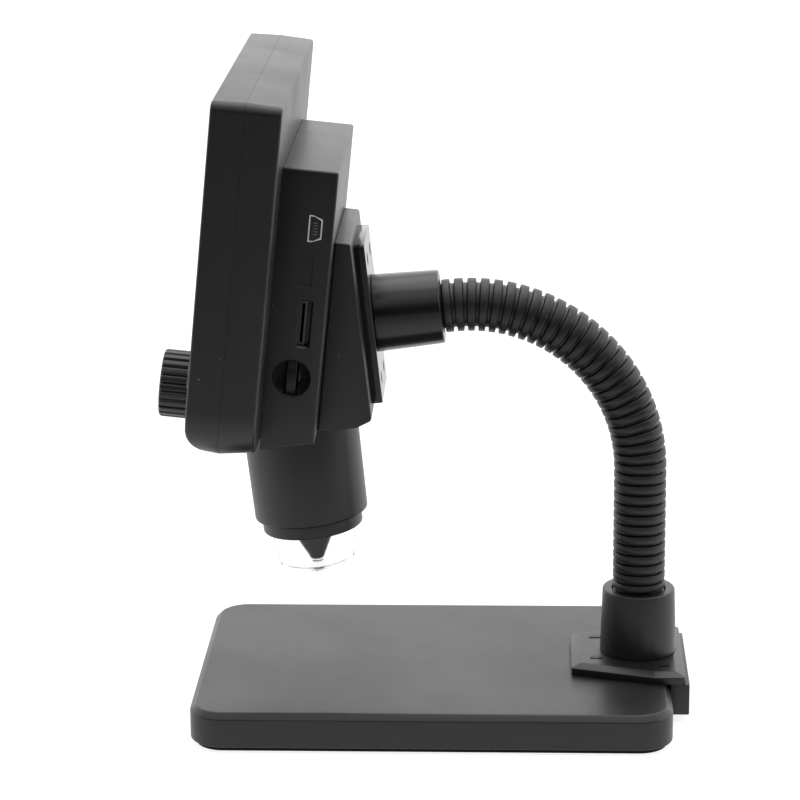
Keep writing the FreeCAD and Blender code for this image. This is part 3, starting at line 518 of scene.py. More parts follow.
# Name: (colour property, roughness, grain, dust, haze, bump in mm, specular)
BLACKS = {
    "painted metal black": ("metal", 0.34, 0.5, 0.3, 0.3, 0.02, 0.5),
    "plate black": ("metal", 0.13, 0.2, 0.25, 0.2, 0.008, 0.5),
    "socket black": ("metal", 0.2, 0.25, 0.25, 0.25, 0.012, 0.5),
    "tube black": ("shell", 0.36, 0.5, 0.3, 0.3, 0.02, 0.5),
    "small part black": ("small", 0.34, 0.6, 0.2, 0.2, 0.02, 0.5),
    "hose black": ("hose", 0.4, 0.6, 0.35, 0.4, 0.02, 0.5),
    "pad rubber": ("pad", 0.8, 1.0, 0.2, 0.3, 0.04, 0.3),
}


def black(name):
    """Black finish from the table, in the colour that its property group holds."""
    part, *values = BLACKS[name]
    return moulded(name, getattr(bpy.context.scene.scope_colours, part), *values)


def shell_black():
    """Black of the moulded housings, whose gloss is a property too."""
    colours = bpy.context.scene.scope_colours
    return moulded("shell black", colours.shell, colours.shell_gloss, 0.6, 0.35, 0.4, 0.03)


def refinish(node, finish):
    """Gives a solid that keeps its shape its finish."""
    slots = FRAME["nodes"][node].data.materials
    slots.clear()
    slots.append(finish)


# Sizes and colours

def millimetres(name, description, default, low=0.0):
    """Size in millimetres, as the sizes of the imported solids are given."""
    return FloatProperty(name=name, description=description, default=default, min=low,
                         unit="NONE", precision=2)


def paint(name, description, default):
    """Colour of one kind of black part."""
    return FloatVectorProperty(name=name, description=description, default=default, subtype="COLOR")


class ScopeBase(bpy.types.PropertyGroup):
    """Sizes of the base and of the foot plate on it."""
    length: millimetres("Base length", "Front to back, in mm", 140.0)
    width: millimetres("Base width", "Side to side, in mm", 96.0)
    corner: millimetres("Corner radius", "Radius of the four upright corners, in mm", 10.0)
    pad: millimetres("Pad thickness", "Rubber pad under the base, in mm", 1.5)
    pad_inset: millimetres("Pad inset", "How far the pad stands back, in mm", 1.7)
    height: millimetres("Shell height", "Height of the base shell, in mm", 10.3)
    chamfer: millimetres("Chamfer", "Sloping edge round the top, in mm", 1.7)
    foot_front: millimetres("Foot plate front", "From the back edge to the plate's front, in mm", 29.0)
    foot_flare: millimetres("Foot plate flare", "Length over which the plate widens, in mm", 24.0)
    foot_narrow: millimetres("Foot plate front width", "In mm", 29.0)
    foot_wide: millimetres("Foot plate back width", "In mm", 44.0)
    foot_edge: millimetres("Foot plate edge", "Upright part of the edge, in mm", 2.1)
    foot_bevel: millimetres("Foot plate bevel height", "In mm", 1.1)
    foot_bevel_w: millimetres("Foot plate bevel width", "In mm", 2.8)
    lip: millimetres("Plate overhang", "Behind the base, in mm", 4.4)
    lip_back: millimetres("Lip beyond the plate", "In mm", 1.2)
    lip_drop: millimetres("Lip drop", "Below the base's top, in mm", 9.5)


class ScopeNeck(bpy.types.PropertyGroup):
    """Sizes of the sockets and the ribbed neck."""
    back: millimetres("Neck from the back edge", "In mm", 8.9)
    socket_length: millimetres("Socket length", "In mm", 19.5)
    socket_root: millimetres("Socket root radius", "In mm", 11.4)
    socket_mouth: millimetres("Socket mouth radius", "In mm", 10.75)
    socket_floor: millimetres("Socket floor", "Solid part under the bore, in mm", 3.5)
    rib: millimetres("Rib radius", "In mm", 7.75)
    groove: millimetres("Groove radius", "In mm", 6.45)
    bore: millimetres("Hose bore radius", "In mm", 5.7)
    pitch: millimetres("Mean rib pitch", "In mm", 3.26)
    tight: millimetres("Lowest rib pitch", "Pitch at the lower socket, in mm", 3.02)
    bend: millimetres("Bend radius", "In mm", 50.0)
    end: millimetres("Straight upper end", "In mm", 3.2)
    around: IntProperty(name="Points round the hose", description="Smoothness of each ring",
                        default=48, min=12)


class ScopeHead(bpy.types.PropertyGroup):
    """Sizes of the screen housing and what is behind it, in the screen frame."""
    width: millimetres("Housing width", "In mm", 123.0)
    height: millimetres("Housing height", "In mm", 101.6)
    front: millimetres("Front shell depth", "In mm", 9.5)
    rear: millimetres("Rear shell depth", "In mm", 10.0)
    top_corner: millimetres("Upper corner radius", "In mm", 3.0)
    low_corner: millimetres("Lower corner radius", "In mm", 15.0)
    curl: millimetres("Lower front roll", "Radius of the rolled lower edge, in mm", 9.2)
    draft: millimetres("Draft", "How far each shell tapers from the parting line, in mm", 0.35)
    low_taper: millimetres("Lower taper", "Rise of the rear shell's lower face, in mm", 1.0)
    wall: millimetres("Wall", "In mm", 1.8)
    face: millimetres("Front wall", "In mm", 2.2)
    view_w: millimetres("Screen opening width", "In mm", 97.0)
    view_h: millimetres("Screen opening height", "In mm", 56.0)
    view_mid: millimetres("Screen opening centre", "Height of its centre, in mm", -39.0, -200.0)
    knob_z: millimetres("Knob height", "In mm", -96.6, -200.0)
    key_z: millimetres("Key height", "In mm", -80.5, -200.0)
    bump: millimetres("Knob boss radius", "In mm", 13.0)
    twist: FloatProperty(name="Twist", description="Between the screen and the lens tube, in degrees",
                         default=12.0)
    mid_w: millimetres("Port housing width", "In mm", 74.0)
    mid_d: millimetres("Port housing depth", "In mm", 15.5)
    mid_top: millimetres("Port housing top", "In mm", -21.0, -200.0)
    tube_top: millimetres("Lens tube top", "Along the tube's axis, in mm", -105.0, -200.0)
    wedge_w: millimetres("Wedge width", "In mm", 47.8)
    wedge_top: millimetres("Wedge top", "In mm", -43.8, -200.0)
    wedge_back: millimetres("Wedge back", "In the tube's frame, in mm", 29.49)
    plate_t: millimetres("Head plate thickness", "In mm", 3.0)
    plate_w: millimetres("Head plate width", "In mm", 28.0)
    plate_h: millimetres("Head plate height", "In mm", 47.5)
    seat_z: millimetres("Neck seat height", "In the tube's frame, in mm", -77.4, -200.0)
    axis_y: millimetres("Tube axis", "Depth of the lens tube's axis, in mm", 6.49)
    rack_y: millimetres("Rack depth", "Of the focus rack, in the tube's frame, in mm", 3.99, -50.0)


class ScopeColours(bpy.types.PropertyGroup):
    """Colours and gloss of the black parts."""
    shell: paint("Shell", "Moulded shells", (0.0085, 0.0085, 0.009))
    shell_gloss: FloatProperty(name="Shell roughness", description="Of the moulded shells",
                               default=0.35, min=0.0, max=1.0)
    metal: paint("Metal", "Painted metal", (0.0075, 0.0075, 0.008))
    small: paint("Small parts", "Knob and wheel", (0.011, 0.011, 0.011))
    hose: paint("Hose", "Ribbed neck", (0.0085, 0.0085, 0.009))
    pad: paint("Pad", "Rubber pad", (0.003, 0.003, 0.003))


GROUPS = {
    "scope_base": ScopeBase,
    "scope_neck": ScopeNeck,
    "scope_head": ScopeHead,
    "scope_colours": ScopeColours,
}


# Stage

class ScopeStage(bpy.types.Operator):
    """Floor, soft lights, world and the camera at the photograph's angle."""
    bl_idname = "scope.stage"
    bl_label = "Stage"

    # Camera's place, aim, roll in degrees and focal length in mm; half the floor's width in metres
    EYE = (0.8398, 0.0259, 0.3296)
    AIM = (0.0, -0.0098, 0.0923)
    ROLL = -0.5
    FOCAL_LENGTH = 133.4
    FLOOR = 4.0
    OBJECT = (0.0, 0.0, 0.1)

    def execute(self, context):
        scene = context.scene
        scene.view_settings.view_transform = "Standard"
        floor_mesh = bpy.data.meshes.new("floor")
        half = self.FLOOR
        corners = [(-half, -half, 0), (half, -half, 0), (half, half, 0), (-half, half, 0)]
        floor_mesh.from_pydata(corners, [], [(0, 1, 2, 3)])
        floor = bpy.data.objects.new("floor", floor_mesh)
        scene.collection.objects.link(floor)
        floor_mesh.materials.append(self.floor_material())
        self.world(scene)
        self.lamp(scene, "overhead", (-0.3, 0.1, 1.7), 1.6, 9.0)
        self.lamp(scene, "right window", (0.2, 1.7, 0.9), 0.9, 3.0)
        camera_data = bpy.data.cameras.new("camera")
        camera_data.sensor_width = 36.0
        camera_data.lens = self.FOCAL_LENGTH
        camera_data.clip_start = 0.05
        camera = bpy.data.objects.new("camera", camera_data)
        scene.collection.objects.link(camera)
        eye = Vector(self.EYE)
        turn = (Vector(self.AIM) - eye).to_track_quat("-Z", "Y").to_matrix().to_4x4()
        roll = Matrix.Rotation(math.radians(self.ROLL), 4, "Z")
        camera.matrix_world = Matrix.Translation(eye) @ turn @ roll
        scene.camera = camera
        return {"FINISHED"}

    def floor_material(self):
        """White table: bright to the camera, and darker towards it for what the object mirrors."""
        material, tree, shader, place = new_material("pale floor")
        path = tree.nodes.new("ShaderNodeLightPath")
        split = add_node(tree, "ShaderNodeSeparateXYZ", {"Vector": place})
        fade = ramp_node(tree, split.outputs["X"], 0.04, 0.36, 0.68, 0.02)
        seen = math_node(tree, "MAXIMUM", path.outputs["Is Camera Ray"], path.outputs["Is Transmission Ray"])
        glow = math_node(tree, "MAXIMUM", math_node(tree, "MULTIPLY", seen, 0.84), fade)
        feed(tree, shader, {
            "Base Color": (0.3, 0.3, 0.3, 1),
            "Roughness": 0.95,
            "Specular IOR Level": 0.05,
            "Emission Color": (1, 1, 1, 1),
            "Emission Strength": glow,
        })
        return material

    def world(self, scene):
        """White studio with a dark side where the camera stands, as the object's faces mirror it."""
        world = bpy.data.worlds.new("studio")
        scene.world = world
        world.use_nodes = True
        tree = world.node_tree
        tree.nodes.clear()
        path = tree.nodes.new("ShaderNodeLightPath")
        coordinates = tree.nodes.new("ShaderNodeTexCoord")
        split = add_node(tree, "ShaderNodeSeparateXYZ", {"Vector": coordinates.outputs["Generated"]})
        side = ramp_node(tree, split.outputs["X"], -0.25, 0.45, 1.0, 0.0)
        above = ramp_node(tree, split.outputs["Z"], 0.35, 0.85, 0.0, 0.7)
        lit = math_node(tree, "MAXIMUM", side, above)
        lit = math_node(tree, "ADD", math_node(tree, "MULTIPLY", lit, 1.6), 0.02)
        seen = math_node(tree, "MAXIMUM", path.outputs["Is Camera Ray"], path.outputs["Is Transmission Ray"])
        strength = math_node(tree, "MAXIMUM", seen, lit)
        background = add_node(tree, "ShaderNodeBackground", {"Color": (1, 1, 1, 1), "Strength": strength})
        add_node(tree, "ShaderNodeOutputWorld", {"Surface": background.outputs["Background"]})

    def lamp(self, scene, name, place, size, power):
        """Round soft light aimed at the object's middle."""
        data = bpy.data.lights.new(name, "AREA")
        data.shape = "DISK"
        data.size = size
        data.energy = power
        lamp = bpy.data.objects.new(name, data)
        scene.collection.objects.link(lamp)
        lamp.location = place
        aim = Vector(self.OBJECT) - Vector(place)
        lamp.rotation_euler = aim.to_track_quat("-Z", "Y").to_euler()


# Base and foot

class ScopeBaseShell(bpy.types.Operator):
    """Base shell with its chamfered top edge, and the rubber pad under it."""
    bl_idname = "scope.base_shell"
    bl_label = "Base"

    def execute(self, context):
        s = context.scene.scope_base
        outline = rectangle(s.width / 2, -s.length / 2, s.length / 2)
        low, high = s.pad, s.pad + s.height
        side = [(low, 1.2), (low, 0.0), (high - s.chamfer, 0.0), (high, s.chamfer), (high, s.chamfer + 1.5)]
        case = prism(as_is, outline, s.corner, soften(side, [0, 0.5, 0.7, 0.7, 0], 5, False), 10)
        add_piece("base_case", [case], "stand", shell_black(), smooth=40,
                  replaces=("base_shell",))
        rows = edge_rows(0.0, s.pad + 0.2, 0.25, 0.05, s.pad_inset, s.pad_inset)
        pad = prism(as_is, outline, s.corner, rows, 10)
        add_piece("base_foot_pad", [pad], "stand", black("pad rubber"),
                  replaces=("base_pad",))
        return {"FINISHED"}


def screw_hole(top):
    """Profile (radius, height) of the hole that clears a screw's head under a face at height top."""
    reach, deep = SCREW_R + 0.02, 1.5
    return [(0, top - deep), (reach, top - deep), (reach, top + 1), (0, top + 1)]


def screw_head():
    """Flat slotted head on a shank: height falls as the square of the distance, less the slot.

    height = -0.02 (r / R)^2 - depth where |x| is under half the slot's width.
    """
    rows, columns = 24, 72
    slot_w, slot_deep, slope, edge, crown = 0.48, 0.9, 0.08, 0.05, 0.02
    r = np.linspace(0.0, 1.0, rows)[1:, None] * (SCREW_R - edge)
    a = np.linspace(0, 2 * math.pi, columns, endpoint=False)[None, :]
    x, y = r * np.cos(a), r * np.sin(a)
    slot = np.clip((slot_w - np.abs(x)) / slope, 0, 1)
    slot = slot * np.clip((SCREW_R - 3 * edge - np.abs(y)) / slope, 0, 1)
    z = -crown * (r / SCREW_R) ** 2 - slot_deep * slot
    top = np.stack([x, y, z], axis=2)[::-1]
    rim = [(SCREW_R - edge, -crown), (SCREW_R, -crown - edge), (SCREW_R, -SCREW_HEAD),
           (SCREW_SHANK, -SCREW_HEAD), (SCREW_SHANK, -SCREW_HEAD - SCREW_LENGTH)]
    rim = soften(rim, edge, 2, False)[1:]
    side = np.stack([rim[:, :1] * np.cos(a), rim[:, :1] * np.sin(a), rim[:, 1:] + 0 * a], axis=2)[::-1]
    return stack_shell(np.concatenate([side, top]), True, True)


def screwed_down(name, plate, places, top, place):
    """Carves the screws' holes into a plate whose face is at height top, and gives the screws."""
    hole = spun(screw_hole(top), 72)
    holes = [cutter("%s_%d" % (name, i), moved(hole, (x, y, 0)), place) for i, (x, y) in enumerate(places)]
    carve(plate, holes)
    return [moved(screw_head(), (x, y, top - SCREW_SUNK)) for x, y in places]


class ScopeFoot(bpy.types.Operator):
    """Foot plate hooked over the base's back edge, its four screws, and the lower socket."""
    bl_idname = "scope.foot"
    bl_label = "Foot plate"

    def execute(self, context):
        s = context.scene.scope_base
        n = context.scene.scope_neck
        low = s.pad + s.height
        back = s.length / 2
        front = back - s.foot_front
        a, b = s.foot_narrow / 2, s.foot_wide / 2
        flare, end = front + s.foot_flare, back + s.lip
        outline = [(-a, front), (a, front), (b, flare), (b, end), (-b, end), (-b, flare)]
        top = low + s.foot_edge + s.foot_bevel
        bevel = s.foot_bevel_w
        side = [(low, 0.3), (low, 0.0), (low + s.foot_edge, 0.0), (top, bevel), (top, bevel + 2)]
        side = soften(side, [0, 0.1, 0.3, 1.2, 0], 4, False)
        plate = prism(as_is, outline, [1.0, 1.0, 2.0, 1.2, 1.2, 2.0], side, 4)
        lip_rows = edge_rows(low - s.lip_drop, low + 0.02, 0.4, 0.01)
        hook = end + s.lip_back
        lip_outline = [(-b, back + 0.02), (b, back + 0.02), (b, hook), (-b, hook)]
        lip = prism(as_is, lip_outline, [0.2, 0.2, 0.5, 0.5], lip_rows, 4)
        metal = black("painted metal black")
        bracket = add_piece("foot_bracket", [plate], "stand", metal,
                            replaces=("foot_plate",))
        places = [(x, back + y) for x, y in FOOT_SCREWS]
        heads = screwed_down("foot", bracket, places, top, as_is)
        add_piece("foot_hook", [lip], "stand", metal)
        add_piece("foot_screw_set", heads, "stand", metal, replaces=("foot_screws",))
        socket = moved(socket_shell(n), (0, back - n.back, top))
        add_piece("lower_cone", [socket], "stand", metal, replaces=("lower_socket",))
        return {"FINISHED"}


def socket_shell(n):
    """Cone standing on z = 0 with a rounded mouth and the hose's bore down to its floor."""
    bore = n.rib + 0.22
    profile = [(0, 0), (n.socket_root, 0), (n.socket_mouth, n.socket_length), (bore, n.socket_length),
               (bore, n.socket_floor), (0, n.socket_floor)]
    return spun(soften(profile, [0, 0.3, 0.55, 0.4, 0.3, 0], 5, False), 96)


# Neck

def neck_points(s):
    """Neck centre line: straight up, a quarter turn and a little more, then straight.

    Gives the centre (y, z) and the turn angle at each length s from the lower socket's mouth.
    """
    n, base = bpy.context.scene.scope_neck, bpy.context.scene.scope_base
    most = math.pi / 2 + math.radians(bpy.context.scene.scope_head.twist / 2)
    rise = NECK_RIBS * n.pitch - n.bend * most - n.end
    y0 = base.length / 2 - n.back
    z0 = base.pad + base.height + base.foot_edge + base.foot_bevel + n.socket_length
    turn = np.clip((s - rise) / n.bend, 0, most)
    over = np.maximum(s - rise - n.bend * most, 0)
    y = y0 - n.bend * (1 - np.cos(turn)) - over * np.sin(turn)
    z = z0 + np.minimum(s, rise) + n.bend * np.sin(turn) + over * np.cos(turn)
    return y, z, turn


def rib_start(k):
    """Length at which rib k starts: the pitch grows steadily from the lower socket to the upper.

    length = tight k + growth k^2 between the sockets, and straight on beyond them.
    """
    n = bpy.context.scene.scope_neck
    growth = (n.pitch - n.tight) / NECK_RIBS
    k = np.asarray(k, float)
    inside = np.clip(k, 0, NECK_RIBS)
    top_pitch = n.tight + 2 * growth * NECK_RIBS
    return n.tight * np.minimum(k, inside) + growth * inside ** 2 + top_pitch * np.maximum(k - NECK_RIBS, 0)


# One rib: share of a pitch, share of the rib's height
RIB_PROFILE = ((0.0, 0.0), (0.14, 0.0), (0.16, 0.06), (0.185, 0.66), (0.195, 0.86), (0.215, 0.96),
               (0.245, 1.0), (0.755, 1.0), (0.785, 0.96), (0.805, 0.86), (0.815, 0.66), (0.84, 0.06),
               (0.86, 0.0))


class ScopeNeckHose(bpy.types.Operator):
    """Ribbed neck in seven stretches, each round one of the ribs at which it bends."""
    bl_idname = "scope.neck"
    bl_label = "Ribbed neck"

    def execute(self, context):
        n = context.scene.scope_neck
        middles = [0.5 * (a + b) for a, b in zip(NECK_CUTS[:-1], NECK_CUTS[1:])]
        cuts = [-5] + [int(round(m)) for m in middles] + [NECK_RIBS + 4]
        for i, (first, last) in enumerate(zip(cuts[:-1], cuts[1:])):
            shell = self.stretch(n, first, last)
            nodes = ("neck_sleeve_%d" % i,) if i < 6 else ("neck_sleeve_6", "neck_sleeve_7")
            piece = add_piece("hose_%d" % (i + 1), [shell], None, black("hose black"),
                              smooth=50)
            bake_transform(piece)
            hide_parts(*nodes)
        return {"FINISHED"}

    def stretch(self, n, first, last):
        """Rib profile carried along the neck from rib first to rib last, then back down the bore.

        point = centre(s) + r (cos a, sin a cos turn, sin a sin turn); the ribs of the tight lower
        stretch are drawn wider, so that their grooves narrow there.
        """
        k = np.arange(first, last)
        share = np.array([p[0] for p in RIB_PROFILE])
        height = np.array([p[1] for p in RIB_PROFILE])
        start = rib_start(k)
        pitch = rib_start(k + 1) - start
        narrow = 0.62 + 0.38 * np.clip((pitch - n.tight) / 0.7, 0, 1)
        centred = (share[None, :] - 0.5)
        wide = np.where(np.abs(centred) < 0.49, centred * (1 + (1 - narrow[:, None]) * 0.24), centred)
        s = (start[:, None] + pitch[:, None] * (0.5 + wide)).ravel()
        r = (n.groove + (n.rib - n.groove) * np.tile(height, (len(k), 1))).ravel()
        s = np.append(s, rib_start(last))
        r = np.append(r, n.groove)
        low = -(n.socket_length - n.socket_floor)
        high = NECK_RIBS * n.pitch - low
        s = np.clip(s, low, high)
        inner = np.linspace(s[-1], s[0], 2 * (last - first) + 1)
        s = np.concatenate([s, inner])
        r = np.concatenate([r, np.full(len(inner), n.bore)])
        y, z, turn = neck_points(s)
        a = np.linspace(0, 2 * math.pi, n.around, endpoint=False)[None, :]
        x = r[:, None] * np.cos(a)
        across = r[:, None] * np.sin(a)
        y, z, turn = y[:, None], z[:, None], turn[:, None]
        points = np.stack([x, y + across * np.cos(turn), z + across * np.sin(turn)], axis=2)
        return stack_shell(points, False, False, True)


class ScopeHeadPlate(bpy.types.Operator):
    """Plate on the wedge cover with its four screws, and the upper socket."""
    bl_idname = "scope.head_plate"
    bl_label = "Head plate"

    def execute(self, context):
        h = context.scene.scope_head
        n = context.scene.scope_neck
        back = h.wedge_back + h.plate_t
        side = [(h.wedge_back, 0.3), (h.wedge_back, 0.0), (back - 0.2, 0.0), (back, 0.2), (back, 2.0)]
        rows = soften(side, [0, 0.1, 0.15, 0.15, 0], 3, False)
        outline = rectangle(h.plate_w / 2, h.seat_z - h.plate_h / 2, h.seat_z + h.plate_h / 2)
        shell = prism(as_is, outline, 1.2, rows, 4)
        plate = add_piece("head_bracket", [shell], "head", black("plate black"), on_tube_back,
                          replaces=("head_plate",))
        places = [(x, h.seat_z + z) for x, z in HEAD_SCREWS]
        heads = screwed_down("plate", plate, places, back, on_tube_back)
        dark_steel = brushed("screw steel", (0.03, 0.03, 0.032), 0.45)
        add_piece("head_screw_set", heads, "head", dark_steel, on_tube_back,
                  replaces=("plate_screws",))
        cone = moved(socket_shell(n), (0.0, h.seat_z, back))
        add_piece("upper_cone", [cone], "head", black("socket black"), on_tube_back,
                  replaces=("upper_socket",))
        return {"FINISHED"}


# Screen housing

def head_shell(name, shell, node=None, smooth=CREASE):
    """Moulded piece on the head, drawn in the screen frame, in place of a solid if it has one."""
    return add_piece(name, [shell], "head", shell_black(), in_screen, smooth=smooth,
                     replaces=(node,) if node else ())


def housing_outline(h):
    """Front view of the screen housing, lower left corner first, and its corner radii."""
    x = h.width / 2
    points = [(-x, -h.height), (x, -h.height), (x, 0.0), (-x, 0.0)]
    return points, [h.low_corner, h.low_corner, h.top_corner, h.top_corner]


def rolled(ring, h):
    """Rolls the lower front edge back in a quarter circle: y = f + y (front - f) / front.

    f = r - sqrt(r^2 - (r - u)^2), where u is the height over the housing's lower edge, at most r.
    """
    short = h.curl - np.clip(ring[..., 2] + h.height, 0, h.curl)
    lift = h.curl - np.sqrt(h.curl ** 2 - short ** 2)
    out = ring.copy()
    out[..., 1] = lift + ring[..., 1] * (h.front - lift) / h.front
    return out


class ScopeScreenHousing(bpy.types.Operator):
    """Front shell with its screen opening and knob boss, rear shell, window and panel."""
    bl_idname = "scope.screen_housing"
    bl_label = "Screen housing"

    # Height from which the rear shell's lower face rises, and the fall over which it does, in mm
    TAPER_FROM, TAPER_OVER = -70.0, 25.0

    def execute(self, context):
        h = context.scene.scope_head
        self.front_shell(h)
        self.rear_shell(h)
        self.window(h)
        return {"FINISHED"}

    def front_shell(self, h):
        """Rings from the opening's rim over the face, round the edge and back along the inside.

        Between two rings of unequal kind the points are (1 - t) first + t last.
        """
        points, radii = housing_outline(h)
        steps = 10
        hole = rectangle(h.view_w / 2, h.view_mid - h.view_h / 2, h.view_mid + h.view_h / 2)

        def outer(depth, inset):
            """Ring of the housing's outline, moved inwards."""
            return along_y(rings_of(points, radii, [(depth, inset)], steps))

        def opening(depth, grow):
            """Ring of the screen opening, moved outwards."""
            return along_y(rings_of(hole, 0.8, [(depth, -grow)], steps))

        lap, seat, bevel, border, round_r, fillet = 1.95, 1.32, 0.15, 8.0, 0.9, 0.5
        rings = [opening(h.face, 0), opening(seat, 0), opening(seat, lap), opening(bevel, lap)]
        edge = outer(0.0, border)
        rings += [opening(0.0, lap + bevel) * (1 - t) + edge * t for t in np.linspace(0, 1, 12)[:-1]]
        rings += [outer(0.0, inset) for inset in np.linspace(border, h.draft + round_r, 18)]
        for depth, inset in edge_rows(0.0, h.front, round_r, 0.12, h.draft, 0.0, 5)[1:]:
            rings.append(outer(depth, inset))
        rings.append(outer(h.front, h.wall))
        rings.append(outer(h.face + fillet, h.wall + h.draft))
        inner = outer(h.face, h.wall + h.draft + fillet)
        rings += [inner * (1 - t) + opening(h.face, 0) * t for t in np.linspace(0, 1, 12)[:-1]]
        shell = stack_shell(rolled(np.concatenate(rings), h), False, False, True)
        piece = head_shell("screen_front", shell, "lcd_front_shell", 28)
        mouth_r, well_r, deep = 5.6, 3.9, 4
        well = [(0, -1), (mouth_r, -1), (well_r, 0.45), (well_r, deep), (0, deep)]
        wells = [cutter("key_%d" % i, spun_y(well, (x, h.key_z), around=48), in_screen)
                 for i, x in enumerate(KEY_PLACES)]
        carve(piece, wells)
        bore, face = 2.2, -0.02
        ring = [(bore, h.front), (bore, face), (h.bump, face), (h.bump, h.front)]
        boss = spun_y(soften(ring, 0.8, 4), (0, h.knob_z), around=96, closed=True)
        head_shell("knob_boss", boss)

    def rear_shell(self, h):
        """Rear shell, whose lower face rises towards the back, and the tunnel of the knob's shaft."""
        points, radii = housing_outline(h)
        back = h.front + h.rear
        inner = back - h.wall
        rows = [(inner, h.wall + 1.0), (inner - 0.8, h.wall + h.draft), (h.front + 0.4, h.wall)]
        rows += edge_rows(h.front, back, 0.12, 0.9, 0.0, h.draft, 5)
        rings = along_y(rings_of(points, radii, rows, 10))
        low = np.clip((self.TAPER_FROM - rings[..., 2]) / self.TAPER_OVER, 0, 1)
        rings[..., 2] += h.low_taper * low * np.clip((rings[..., 1] - h.front) / h.rear, 0, 1)
        head_shell("screen_rear", stack_shell(rings), "lcd_rear_shell", 28)
        step, tunnel = h.front + 1.5, 4.3
        profile = [(0, h.front), (h.bump, h.front), (h.bump, step), (tunnel, step), (tunnel, back), (0, back)]
        boss = spun_y(soften(profile, 0.3, 4, False), (0, h.knob_z), around=64)
        head_shell("shaft_tunnel", boss)

    def window(self, h):
        """Smoked pane in the opening's step, and the panel's dark face behind it."""
        lap = 1.8
        half = h.view_h / 2 + lap
        outline = rectangle(h.view_w / 2 + lap, h.view_mid - half, h.view_mid + half)
        rows = edge_rows(0.1, 1.3, 0.12, 0.05)
        glass = prism(along_y, outline, 0.9, rows, 4)
        smoked = clear_plastic("smoked window", (0.3, 0.3, 0.31), 0.01, 1.49, 0.012)
        add_piece("window_pane", [glass], "head", smoked, in_screen,
                  replaces=("screen_window",))
        refinish("lcd_panel", moulded("display black", (0.008, 0.009, 0.012), 0.4, 0.1, 0.0, 0.1, 0.002))


class ScopeKeys(bpy.types.Operator):
    """Six round keys with dished tops, each on its own slide."""
    bl_idname = "scope.keys"
    bl_label = "Keys"

    def execute(self, context):
        h = context.scene.scope_head
        cap_r, flange_r, proud, back, flange = 3.6, 4.4, 1.2, 3.3, 2.3
        profile = [(0, back), (flange_r, back), (flange_r, flange), (cap_r, flange), (cap_r, -proud),
                   (cap_r - 1.0, 0.2 - proud), (0, 0.35 - proud)]
        line = soften(profile, [0, 0.1, 0.1, 0.1, 0.7, 1.5, 0], 5, False)
        for i, x in enumerate(KEY_PLACES, 1):
            key = "key_%d" % i
            shell = spun_y(line, (x, h.key_z), around=56)
            add_piece("key_cap_%d" % i, [shell], key, black("small part black"), in_screen,
                      replaces=(key,))
        return {"FINISHED"}


# Port housing and wedge

def tube_cut_height(h, y):
    """Height in the screen frame of the tube's top plane at depth y."""
    t = math.radians(h.twist)
    return (h.tube_top + y * math.sin(t)) / math.cos(t)


def socket_outline(grow):
    """Outline of the socket's bent steel shell, as (y, z), grown by some mm on every side."""
    wide, narrow, bend, deep = 3.85, 2.8, 1.2, 3.9
    points = [(0.0, -wide), (bend, -wide), (deep, -narrow), (deep, narrow), (bend, wide), (0.0, wide)]
    return offset([(y + SOCKET_Y, z + SOCKET_Z) for y, z in points], -grow)


def rack_opening(h):
    """Block that clears the focus rack's way from the lens tube into the port housing."""
    rows = [(h.tube_top - 4.0, 0.0), (h.tube_top + 4.0, 0.0)]
    left, right, front, back = -5.6, 8.4, h.rack_y - 4.0, h.rack_y + 3.0
    outline = [(left, front), (right, front), (right, back), (left, back)]
    return cutter("rack", prism(as_is, outline, 0.3, rows, 2), in_tube)


